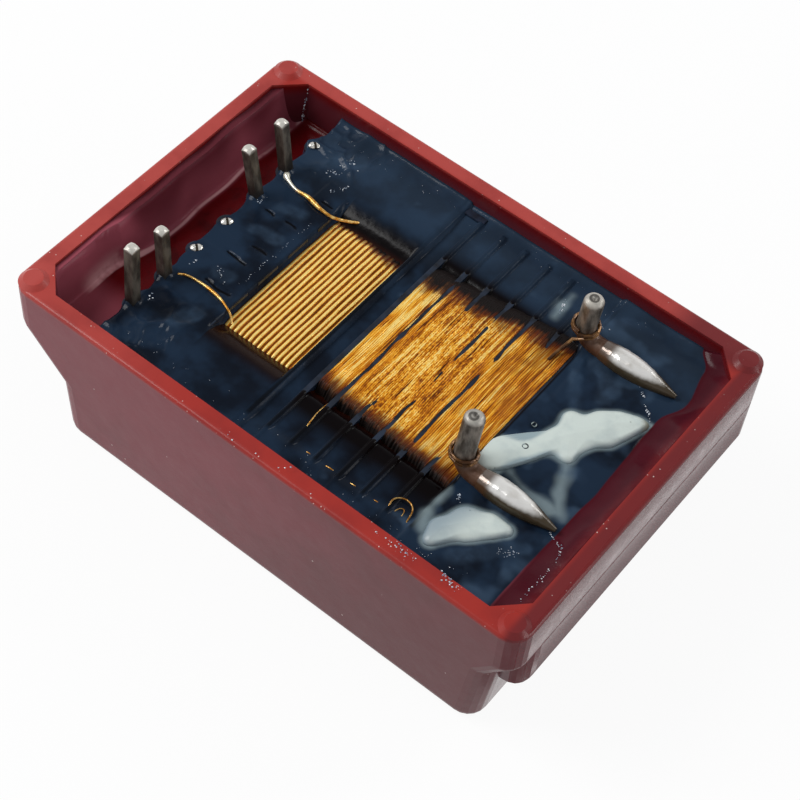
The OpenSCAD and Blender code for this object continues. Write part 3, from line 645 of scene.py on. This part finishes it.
# dark slots where a flange still shows between two coils: number of the flange, from y, to y
slots = [
    (1, -4.9, 4.9), (2, -5.1, -4.3), (2, 4.4, 5.8), (3, -4.9, -2.8), (3, -0.45, 0.0), (3, 1.2, 3.7),
    (3, 4.7, 6.0), (4, -4.5, 1.2), (4, 2.7, 6.3), (5, -5.4, -4.6), (5, 5.4, 6.6),
]


def copperFinish(name, fade, light, warm, floor, c=copper):
    # crests of the wire are pale gold, a painted highlight, and the valleys deep amber, painted shade; both
    # drown in dark resin at the ends, and flecks and slow clouds break the evenness
    f = Finish(name, IOR=1.28)
    grains = f.noise(5.0, 3.0, 0.6)
    tone = light(f).ease(0, 1)
    base = f.ramp(
        tone, (0.0, c["shade"]), (0.3, c["deep"]), (0.58, c["amber"]), (0.82, c["bright"]), (0.97, c["pale"])
    )
    base = f.mix(grains.ease(0.6, 0.72) * 0.45, base, c["deep"])
    base = f.mix(warm(f), base, c["dull"])
    base = f.mix(f.value("gap"), base, c["gap"])
    depth = fade(f).over(f.z.ease(floor, floor - 0.22))
    base = f.mix(depth.ease(0.0, 0.5) * 0.9, base, c["brown"])
    base = f.mix(depth.ease(0.3, 0.8), base, c["burnt"])
    f.set(
        BaseColor=base, Metallic=(1 - depth.ease(0.3, 0.8)) * 0.25,
        Roughness=0.24 + grains * 0.2 + depth.ease(0.3, 0.8) * 0.3,
    )
    f.bump(grains * 0.4 + tone * 0.5, 0.03, 0.6)
    return f.material


def makePrimary(c):
    # each turn is a half round, z = centre + sqrt(r^2 - d^2); past the flat of the tube the
    # whole row falls away on the arc of its corner
    turn = (primaryHigh[0] - primaryLow[0]) / c["turns"]
    x = np.linspace(primaryLow[0] - 0.02, primaryHigh[0] + 0.02, c["turns"] * 13)
    y = np.concatenate([np.linspace(-5.9, -4, 26), np.linspace(-3.8, 3.8, 60), np.linspace(4, 5.9, 26)])
    gx, gy = np.meshgrid(x, y, indexing="ij")
    number = np.floor((gx - primaryLow[0]) / turn)
    shift = 0.025 * hills(number * 3.7, gy, 2.6, 51) + 0.012 * hills(number * 5.1, gy, 0.9, 52)
    offset = (gx - primaryLow[0] - shift) / turn
    number = np.floor(offset)
    d = (offset - number - 0.5) * turn
    past = np.maximum(abs(gy) - c["flat"], 0)
    fall = c["corner"] - np.sqrt(np.maximum(c["corner"] ** 2 - past**2, 0))
    z = primaryHigh[2] - turn / 2 + np.sqrt(np.maximum((turn * 0.53) ** 2 - d**2, 0)) - fall
    z += 0.03 * hills(number * 7.3, gy, 1.8, 53) - 0.025
    values = {"crest": np.clip(1 - (d / (turn / 2)) ** 2, 0, 1) ** 2, "gap": 0 * d}
    piece = slab("primaryTurns", x, y, z, primaryHigh[2] - 2.0, ["primary_winding"], values)

    def fade(f):
        wobble = (f.noise(1.2, 3.0) - 0.5) * 1.2
        slant = (f.x - primaryLow[0]) * 0.12
        return (f.y + wobble + slant - primaryBright).over(-4.7 - f.y + wobble * 0.3).ease(-0.3, 1.1)

    def light(f):  # a narrow painted highlight along each crest, with grains where the enamel is rough
        along = f.noise(1.0, 4.0, 0.6, f.stretched(3.0, 0.5, 3.0))
        return f.value("crest").ease(0.1, 1.0) * 0.66 + along * 0.5 + f.noise(3.2, 4.0, 0.7) * 0.3 - 0.14

    piece.data.materials.append(copperFinish(
        "primaryCopper", fade, light, lambda f: f.noise(0.7, 3.0).ease(0.6, 0.8) * 0.25, primaryHigh[2] - 0.75
    ))


def makeSecondary(c):
    # fine strands lie side by side along y; their height is a round ridge for each strand plus
    # slow lumps, and where the wire hasn't spilled over a flange the sheet drops beside it
    x = np.arange(coils[0][0][0] - 0.03, coils[5][1][0] + 0.06, 0.0215)
    y = np.concatenate([np.linspace(-7.0, -4, 38), np.linspace(-3.9, 4.6, 84), np.linspace(4.7, 7.4, 36)])
    gx, gy = np.meshgrid(x, y, indexing="ij")
    drift = 0.16 * hills(gx, gy * 0.6, 3.4, 61) + 0.05 * hills(gx, gy, 1.2, 62)
    strand = (gx + drift) / c["strandPitch"]
    number = np.floor(strand)
    ridge = 1 - (2 * (strand - number) - 1) ** 2
    z = topZ + 0.04 + 0.03 * ridge * (0.6 + 0.5 * hills(number * 2.3, gy, 1.4, 63))
    z += (
        0.05 * hills(gx, gy, 1.6, 64) + 0.03 * hills(gx * 1.6, gy * 0.6, 0.4, 65)
        + 0.03 * hills(number * 1.7, gy, 2.4, 66)
    )
    gap = np.zeros(gx.shape)
    for flange, low, high in slots:
        centre = flanges[flange] + 0.06 * hills(gy, gy * 0, 1.0, 70 + flange)
        ragged = 0.3 * hills(gx * 3, gy, 0.35, 71)
        along = ease(low - 0.3, low + 0.2, gy + ragged) * ease(high + 0.3, high - 0.2, gy + ragged)
        width = 0.085 + 0.035 * hills(gy, gy * 0, 0.7, 72)
        gap = np.maximum(gap, ease(1.5, 0.7, abs(gx - centre) / width) * along)
    z -= 0.22 * gap
    ends = (
        ease(0, 1.9, gy - (coilFar + 0.13 * (gx - flanges[0]) - 0.3))
        + ease(0, 1.0, coilNear - gy - 0.07 * (gx - 2) + 0.16 * hills(number * 1.9, 0 * gy, 1.1, 68))
    )
    z -= ends * 1.3
    crest = np.clip(ridge * 0.7 + 0.5 * hills(number * 2.3, gy, 2.5, 67), 0, 1)
    names = [f"secondary_coil_{i}" for i in range(1, 7)]
    piece = slab("secondaryStrands", x, y, z, topZ - 1.6, names, {"crest": crest, "gap": gap})

    def fade(f):
        wobble = (f.noise(0.9, 4.0) - 0.5) * 2.0
        threads = (f.noise(1.0, 2.0, 0.5, f.stretched(7.0, 0.2, 1.0)) - 0.5) * 1.2
        far = f.y + wobble + threads - 4.3 - f.x * 0.14
        return far.over(-4.5 - f.y - f.x * 0.06 + wobble * 0.35 + threads * 0.6).ease(-1.1, 1.3)

    def light(f):  # painted highlights and shade on the strands: long fibres, a coarser mesh in the middle coils, and brighter patches
        fibres = f.noise(1.0, 5.0, 0.62, f.stretched(9.0, 0.55, 1.0))
        mesh = f.noise(1.0, 3.0, 0.7, f.stretched(9.0, 4.5, 1.0))
        cuts = f.noise(1.0, 2.0, 0.5, f.stretched(5.0, 0.2, 1.0)).ease(0.36, 0.29)
        middle = f.x.ease(0.2, 1.8) * (1 - f.x.ease(4.2, 5.6))
        patches = f.noise(0.6, 3.0)
        tone = f.value("crest") * 0.5 + fibres * 1.3 + middle * (mesh - 0.5) * 1.3 + patches * 0.5 - 0.58
        return tone + f.x.ease(1.6, -1.2) * 0.12 - cuts * 0.5

    def warm(f):  # the last coils are browner than the middle ones
        return (f.x.ease(3.6, 7.2) * 0.42 + f.y.ease(2.0, 5.5) * 0.3) * f.noise(0.7, 3.0).ease(0.3, 0.6)

    piece.data.materials.append(copperFinish("secondaryCopper", fade, light, warm, topZ - 0.04))


makePrimary(copper)
makeSecondary(copper)
print("windings")


# tinned pins, terminals, cut-off pins and solder
tin = {
    "grey": srgb(120, 113, 102), "dark": srgb(66, 60, 52), "bright": srgb(226, 222, 212),
    "foot": srgb(26, 22, 22), "burnt": srgb(96, 58, 34), "burntGrey": srgb(150, 141, 130),
    "cutMark": srgb(40, 34, 30), "stub": (0.36, 0.25, 0.14),
    "stubGrey": srgb(246, 243, 234), "stubBand": srgb(70, 62, 50),
}
solder = {
    # bright is a painted highlight along the top of the solder; the flank tone is resin brown and painted
    # shade
    "bright": srgb(255, 253, 248), "cloud": srgb(176, 162, 144), "flank": srgb(66, 56, 40),
    "root": srgb(84, 56, 34),
}


def tipOf(node):  # middle of a solid's highest points, in mm
    data = bpy.data.objects[node].data
    points = np.empty(len(data.vertices) * 3)
    data.vertices.foreach_get("co", points)
    points = points.reshape(-1, 3) / mm
    return points[points[:, 2] > points[:, 2].max() - 0.04].mean(axis=0)


def tinFinish(name, foot, node, burnt=False):
    # drawn scratches along the pin, pale at the cut tip, darker towards the foot; a terminal's foot is
    # browned by resin
    f = Finish(name, Metallic=0.3 if burnt else 0.5, IOR=1.5)
    tip = tipOf(node)
    scratch = f.noise(2.5, 4.0, 0.55, f.stretched(1, 1, 0.3))
    grey = tin["burntGrey"] if burnt else tin["grey"]
    base = f.mix(scratch.ease(0.35, 0.7), tin["dark"], grey)
    base = f.mix(f.z.ease(tip[2] - 0.35, tip[2] - 0.05) * (0.45 if burnt else 0.9), base, tin["bright"])
    if burnt:  # the round mark left where the terminal was cut
        away = ((f.x - tip[0]) * (f.x - tip[0]) + (f.y - tip[1]) * (f.y - tip[1])) / 0.05
        base = f.mix(
            (1 - abs(away - 1.0).ease(0.3, 1.0)) * f.z.ease(tip[2] - 0.5, tip[2] - 0.3) * 0.8,
            base, tin["cutMark"],
        )
    low = 1 - f.z.ease(foot + 0.1, foot + (1.7 if burnt else 1.5))
    base = f.mix(low * 0.85, base, tin["burnt"] if burnt else tin["foot"])
    f.set(BaseColor=base, Roughness=0.3 + scratch * 0.2)
    f.bump(f.noise(5.0, 4.0), 0.03, 0.5)
    return f.material


def solderFinish(name, node):
    # bright where it faces up in the middle, a painted highlight; amber brown resin mixed with painted shade
    # along its flanks, and amber brown resin at both ends
    f = Finish(name, IOR=1.5)
    low, high = nodeBox(node)
    height = f.z + (f.noise(1.3, 3.0) - 0.5) * 0.22
    # the lower flanks take resin brown with painted shade, and the top keeps the painted highlight
    flank = 1 - height.ease(high[2] - 0.42, high[2] - 0.16)
    flow = f.noise(0.9, 3.0, 0.5, f.stretched(0.8, 1.6, 1.6))
    base = f.mix(flow.ease(0.5, 0.75) * 0.4, solder["bright"], solder["cloud"])
    base = f.mix(flank, base, solder["flank"])
    root = f.x.ease(low[0] + 0.95, low[0] + 0.45) * 0.85
    base = f.mix(root, base, solder["root"])
    f.set(BaseColor=base, Metallic=0.5 - flank * 0.35, Roughness=0.14 + flow * 0.12)
    f.bump(flow + f.noise(3.0, 3.0) * 0.15, 0.12, 0.5)
    return f.material


def plainFinish(name, colour, spot, roughness, metallic=0.0):
    f = Finish(name, Metallic=metallic)
    cloud = f.noise(1.2, 4.0)
    f.set(BaseColor=f.mix(cloud.ease(0.35, 0.7), colour, spot), Roughness=roughness + cloud * 0.15)
    f.bump(f.noise(5.0, 3.0), 0.03, 0.4)
    return f.material


def hillTone(f, distance, width):  # 1 at no distance, falling to 0 at twice the width
    return 1 - abs(distance).ease(width, width * 2)


def makeStub(number, place):
    # the cut end of a pin under a skin of resin: half an egg, x = a cos u sin v, y = b sin u sin v,
    # z = c cos v, drawn on by a skirt
    a, b, c = tin["stub"]
    rows, cols = 14, 28
    u = np.linspace(0, 2 * math.pi, cols, endpoint=False)[None, :]
    v = np.linspace(0.12, 1.9, rows)[:, None]
    ground = resinHeight(np.array([place[0]]), np.array([place[1]]))[0][0]
    lumps = 1 + 0.12 * hills(np.cos(u) * 2 + number, np.sin(u) * 2 + v, 1.0, 75)
    px, py = a * np.cos(u) * np.sin(v) * lumps, b * np.sin(u) * np.sin(v) * lumps
    points = np.stack([
        place[0] + px * 0.75 - py * 0.66, place[1] + px * 0.66 + py * 0.75,
        ground + 0.02 + c * np.cos(v) + 0 * u,
    ], -1)
    faces = gridFaces(rows, cols, closeCols=True)
    faces += [list(range(cols))[::-1], list(range((rows - 1) * cols, rows * cols))]
    piece = makePiece(f"cutEnd{number}", points, faces, [f"cut_pin_{number}"])
    f = Finish(f"cutEndTin{number}", Metallic=0.7)
    band = hillTone(f, (f.x - place[0]) * 0.66 + (f.y - place[1]) * 0.75 - 0.03, 0.05)
    f.set(BaseColor=f.mix(band, tin["stubGrey"], tin["stubBand"]), Roughness=0.16)
    f.bump(f.noise(4.0, 3.0), 0.04, 0.5)
    piece.data.materials.append(f.material)


for number, place in enumerate(stubs, 1):
    makeStub(number, place)
print("cut pins")


# white adhesive
adhesive = {
    "white": srgb(204, 214, 208), "cloud": srgb(172, 186, 186), "rim": srgb(136, 156, 164),
    "speck": srgb(96, 104, 100), "thin": srgb(112, 132, 148), "clearTip": srgb(128, 128, 104),
}


def adhesiveFinish(name, thin):
    # white in the middle, bluish at the rim, with a few grey specks
    f = Finish(name, Roughness=0.3, IOR=1.4)
    cloud = f.noise(0.9, 3.0)
    base = f.mix(cloud.ease(0.45, 0.75) * 0.4, adhesive["white"], adhesive["cloud"])
    base = f.mix(f.value("rim").ease(0.3, 1.0) * 0.85, base, adhesive["rim"])
    base = f.mix((1 - f.cells(0.8).ease(0.03, 0.07)) * 0.6, base, adhesive["speck"])
    if thin:  # thin and bluish where it runs down to the wall
        base = f.mix((1 - (f.x - f.y * 0.25).ease(11.2, 12.9)) * 0.7, base, adhesive["thin"])
    else:  # the far tip is yellowish and clear
        base = f.mix((f.x + f.y * 0.5).ease(15.6, 16.2) * 0.8, base, adhesive["clearTip"])
    f.set(BaseColor=base)
    f.bump(f.noise(1.6, 3.0), 0.06, 0.4)
    return f.material


def makeBead(name, chains):
    # a drop shape: from the middle, rays reach as far as any of the round-ended strokes does,
    # and along each ray the height follows a quarter of a rounded square
    centre = np.array(chains[0][len(chains[0]) // 2][:2])
    turn = np.linspace(0, 2 * math.pi, 200, endpoint=False)
    reach = np.linspace(0.05, 8, 320)
    px, py = centre[0] + np.cos(turn)[:, None] * reach, centre[1] + np.sin(turn)[:, None] * reach
    inside = dropGap(px, py, chains) < 0
    edge = (inside * reach).max(axis=1)
    for step in range(6):
        edge = (np.roll(edge, 1) + 2 * edge + np.roll(edge, -1)) / 4
    share = np.concatenate([np.linspace(0, 0.8, 14), np.linspace(0.83, 1, 12)])
    far = edge[None, :] * share[:, None]
    gx, gy = centre[0] + np.cos(turn) * far, centre[1] + np.sin(turn) * far
    deep = np.maximum(-dropGap(gx, gy, chains), 0)
    thick = np.minimum((edge[None, :] * (1 - share[:, None])) / 0.5, 1)
    lift = (
        (0.3 + 0.16 * np.minimum(deep / 0.9, 1) + 0.05 * hills(gx, gy, 1.4, 81))
        * np.sqrt(1 - (1 - thick) ** 2)
    )
    z = resinHeight(gx, gy)[0] - 0.05 + lift
    rows, cols = z.shape
    faces = gridFaces(rows, cols, closeCols=True)
    faces.append(list(range((rows - 1) * cols, rows * cols))[::-1])
    rim = np.exp(-np.minimum(deep, edge[None, :] * (1 - share[:, None])) / 0.24)
    piece = makePiece(
        name.replace("adhesive_bead_", "whiteBead"), np.stack([gx, gy, z], -1), faces, [name], {"rim": rim}
    )
    piece.data.materials.append(adhesiveFinish(piece.name + "Finish", name.endswith("2")))


for name, chains in beads.items():
    makeBead(name, chains)
print("adhesive")


# leads, links and loose wire ends
leads = {  # points on the resin, wire radius
    "primary_lead_1": ([(-11.6, 5.2, 9.4), (-11.3, 4.8, 9.5), (-10.4, 4.5, 9.45), (-9.45, 4.48, 9.5),
                        (-8.5, 4.3, 9.48), (-7.7, 4.3, 9.4), (-7.25, 4.55, 9.25), (-6.8, 4.95, 9.05),
                        (-6.4, 5.4, 8.85)], 0.09),
    "primary_lead_2": ([(-11.3, -4.35, 9.36), (-10.8, -4.15, 9.44), (-9.7, -4.05, 9.44), (-8.5, -4.15, 9.42),
                        (-7.65, -4.4, 9.32), (-7.3, -4.55, 9.1), (-7.1, -4.7, 8.85)], 0.065),
}
dashes = [(1.11, 1.7), (2.33, 3.38), (4.07, 4.97), (5.68, 6.44)]  # where the links show, from x to x
strays = [  # x, y and height above the resin, radius: the last link's loop, and a wire on a flange
    ([(6.75, -8.5, -0.06), (6.72, -8.0, 0.08), (7.03, -7.62, 0.16), (7.5, -7.6, 0.18), (7.86, -7.9, 0.14),
      (8.0, -8.6, -0.05)], 0.045),
    ([(7.1, -8.5, -0.05), (7.25, -8.15, 0.05), (7.5, -8.1, 0.06), (7.6, -8.5, -0.05)], 0.03),
    ([(0.28, -4.9, 0.1), (0.28, -5.5, 0.06), (0.3, -6.3, 0.05), (0.42, -7.0, 0.04), (0.48, -7.5, -0.06)],
     0.04),
]

wire = {
    "enamel": srgb(206, 138, 40), "pale": srgb(252, 212, 130), "dim": srgb(70, 40, 18),
    "tinned": srgb(236, 232, 214),
}


def wireFinish(name, tinnedEnd=None, dim=0.0):
    f = Finish(name, Metallic=0.6)
    streak = f.noise(3.0, 3.0)
    base = f.mix(streak.ease(0.4, 0.65), wire["enamel"], wire["pale"])
    base = f.mix(dim, base, wire["dim"])
    if tinnedEnd is not None:
        base = f.mix(1 - f.x.ease(tinnedEnd - 0.3, tinnedEnd + 0.3), base, wire["tinned"])
    f.set(BaseColor=base, Roughness=0.2 + streak * 0.15)
    f.bump(f.noise(8.0, 3.0), 0.03, 0.5)
    return f.material


def makeLeads():
    for name, (points, radius) in leads.items():
        path = curve(points)
        step = np.arange(len(path))
        blob = 1.3 * hill(step, 8, 6) if name.endswith("1") else 0  # a drop of solder by the pin
        swell = radius * (1 + 0.6 * hill(step, len(path) * 0.42, len(path) * 0.1) + blob)
        piece = tube(name.replace("_lead_", "Lead"), path, swell, replaced=[name])
        piece.data.materials.append(wireFinish(piece.name + "Finish", -10.3 if name.endswith("1") else None))


def onResin(points):  # turns heights above the resin into heights
    p = np.array(points, float)
    p[:, 2] += resinHeight(p[:, 0], p[:, 1])[0]
    return p


def makeStrays():
    t = np.linspace(0, 1, 24)
    for number, (low, high) in enumerate(dashes, 1):  # each link is a short dash where it breaks the surface
        lift = 0.045 * np.sin(math.pi * t) + 0.02 * np.sin(9 * t + number) - 0.035
        path = np.stack([
            low + (high - low) * t, -8.6 + 0.05 * t, 0 * t + topZ - resin["chamberDrop"] + lift,
        ], -1)
        piece = tube(f"linkWire{number}", path, 0.035, 10, [f"section_link_{number}"])
        piece.data.materials.append(wireFinish(piece.name + "Finish"))
    for number, (points, radius) in enumerate(strays, 1):
        piece = tube(
            f"looseWire{number}", curve(onResin(points)), radius, 10,
            ["section_link_5"] if number == 1 else [],
        )
        piece.data.materials.append(wireFinish(piece.name + "Finish", dim=0.2 if number == 3 else 0.55))


makeLeads()
makeStrays()
print("leads and links")


# bubbles in the resin's skin, and pale specks that are painted glints and grains of dust
rings = [(9.43, 0.38, 0.13), (9.95, -1.14, 0.15)]  # x, y, radius
glints = [  # painted glints on the resin's skin: from x, y to x, y, how many, how far they scatter, size
    ((14.04, 4.57), (12.5, 5.9), 26, 0.1, 0.05), ((12.3, 6.1), (11.6, 6.8), 10, 0.07, 0.04),
    ((13.95, -4.4), (15.0, -4.85), 18, 0.08, 0.04), ((15.0, -4.85), (15.3, -5.9), 16, 0.1, 0.04),
    ((15.3, -6.4), (15.3, -8.9), 22, 0.2, 0.045), ((12.6, -6.9), (13.6, -6.5), 26, 0.3, 0.035),
    ((9.1, -5.5), (9.3, -6.0), 16, 0.1, 0.05), ((5.7, 8.5), (6.05, 7.4), 22, 0.14, 0.04),
    ((-9.2, 8.3), (-9.9, 6.6), 30, 0.45, 0.05), ((-8.2, 3.4), (-8.3, -3.2), 34, 0.12, 0.03),
    ((-8.3, 6.8), (-8.9, 5.6), 16, 0.12, 0.045), ((-11.2, 3.0), (-11.4, 2.4), 8, 0.14, 0.05),
    ((-11.1, -2.9), (-11.2, -3.4), 8, 0.12, 0.05), ((-11.4, -6.2), (-11.3, -6.8), 8, 0.12, 0.05),
    ((-9.9, -2.6), (-9.0, -3.2), 14, 0.14, 0.04), ((8.0, 7.9), (8.8, 8.1), 8, 0.08, 0.05),
    ((-12.0, 9.2), (11.0, 9.6), 60, 0.5, 0.02), ((-11.0, -9.0), (12.0, -9.4), 60, 0.6, 0.02),
]
# dust along the near rim and painted highlights down the far corner post: start, end, how many, scatter, size
strings = [
    ((7.6, -10.75, 10.6), (8.9, -10.75, 10.6), 16, 0.1, 0.045),
    ((8.8, -10.7, 10.6), (10.1, -10.7, 10.6), 44, 0.2, 0.05),
    ((11.6, -10.4, 10.6), (12.7, -10.75, 10.6), 40, 0.25, 0.05),
    ((-2.0, -11.0, 10.6), (5.0, -10.9, 10.6), 12, 0.5, 0.05),
    ((-15.96, 8.85, 10.2), (-15.8, 8.7, 7.7), 34, 0.04, 0.055),
    ((-14.5, 10.36, 10.3), (-14.7, 10.2, 7.5), 44, 0.06, 0.05),
]


def makeDustAndGlints():
    # the specks, painted glints and grains of dust alike, are octahedra each with its own size and place, all
    # joined into one mesh
    chance = np.random.default_rng(91)
    centres, sizes = [], []
    for start, end, count, spread, size in glints + strings:
        t = chance.random(count)[:, None]
        place = (
            np.array(start) * (1 - t) + np.array(end) * t
            + chance.normal(0, spread / 2, (count, len(start)))
        )
        if len(start) == 2:
            place = np.column_stack([place, resinHeight(place[:, 0], place[:, 1])[0] + 0.01])
        place[:, 1] = np.clip(place[:, 1], caseLow[1] + 0.15, caseHigh[1] - 0.15)
        centres.append(place)
        sizes.append(size * (0.4 + 0.9 * chance.random(count)))
    centres, sizes = np.vstack(centres), np.concatenate(sizes)
    corner = np.array([(1, 0, 0), (0, 1, 0), (-1, 0, 0), (0, -1, 0), (0, 0, 0.7), (0, 0, -0.7)])
    points = centres[:, None] + corner * sizes[:, None, None]
    side = np.array([(0, 1, 4), (1, 2, 4), (2, 3, 4), (3, 0, 4), (1, 0, 5), (2, 1, 5), (3, 2, 5), (0, 3, 5)])
    faces = (side + 6 * np.arange(len(centres))[:, None, None]).reshape(-1, 3).tolist()
    piece = makePiece("crystals", points, faces)
    f = Finish("crystalFacets", IOR=1.5, Roughness=0.12)
    f.set(BaseColor=f.mix(f.noise(3.0).ease(0.4, 0.6), srgb(226, 230, 236), srgb(150, 164, 182)))
    piece.data.materials.append(f.material)


def makeRings():
    # a burst bubble leaves a low ring: x = (R + r cos v) cos u, y = (R + r cos v) sin u, z = r sin v
    for number, (cx, cy, big) in enumerate(rings, 1):
        rows, cols = 40, 12
        u = np.linspace(0, 2 * math.pi, rows, endpoint=False)[:, None]
        v = np.linspace(0, 2 * math.pi, cols, endpoint=False)
        small = big * 0.24
        ground = resinHeight(np.array([cx]), np.array([cy]))[0][0] + (0.06 if number == 1 else 0.3)
        reach = big + small * np.cos(v)
        points = np.stack([
            cx + reach * np.cos(u), cy + reach * np.sin(u), ground + small * np.sin(v) + 0 * u,
        ], -1)
        piece = makePiece(f"bubbleRing{number}", points, gridFaces(rows, cols, True, True))
        f = Finish(f"bubbleSkin{number}", IOR=1.5, Roughness=0.08)
        # painted highlight: pale flecks on the dark ring
        f.set(BaseColor=f.mix(f.noise(4.0).ease(0.42, 0.6), srgb(38, 46, 50), srgb(150, 164, 164)))
        piece.data.materials.append(f.material)


makeDustAndGlints()
makeRings()
print("crystals and bubbles")


# finishes on the solids that stay as they are
def finishNodes():
    byNode = {
        "case": caseFinish(caseLook),
        "bobbin": plainFinish("bobbinMoulding", srgb(14, 20, 30), srgb(30, 42, 60), 0.22),
        "core_bar": plainFinish("ferrite", srgb(40, 40, 42), srgb(58, 58, 60), 0.6),
    }
    for i in range(1, 5):
        byNode[f"pin_{i}"] = tinFinish(f"pinTin{i}", topZ, f"pin_{i}")
    for i in (1, 2):
        byNode[f"hv_terminal_{i}"] = tinFinish(f"terminalTin{i}", topZ + 0.4, f"hv_terminal_{i}", True)
        byNode[f"hv_lead_{i}"] = plainFinish(
            f"wrappedWire{i}", srgb(70, 42, 20), srgb(150, 108, 62), 0.16, 0.4
        )
        byNode[f"hv_solder_{i}"] = solderFinish(f"solder{i}", f"hv_solder_{i}")
    for node, finish in byNode.items():
        data = bpy.data.objects[node].data
        data.materials.clear()
        data.materials.append(finish)


finishNodes()
print("finishes on the solids")
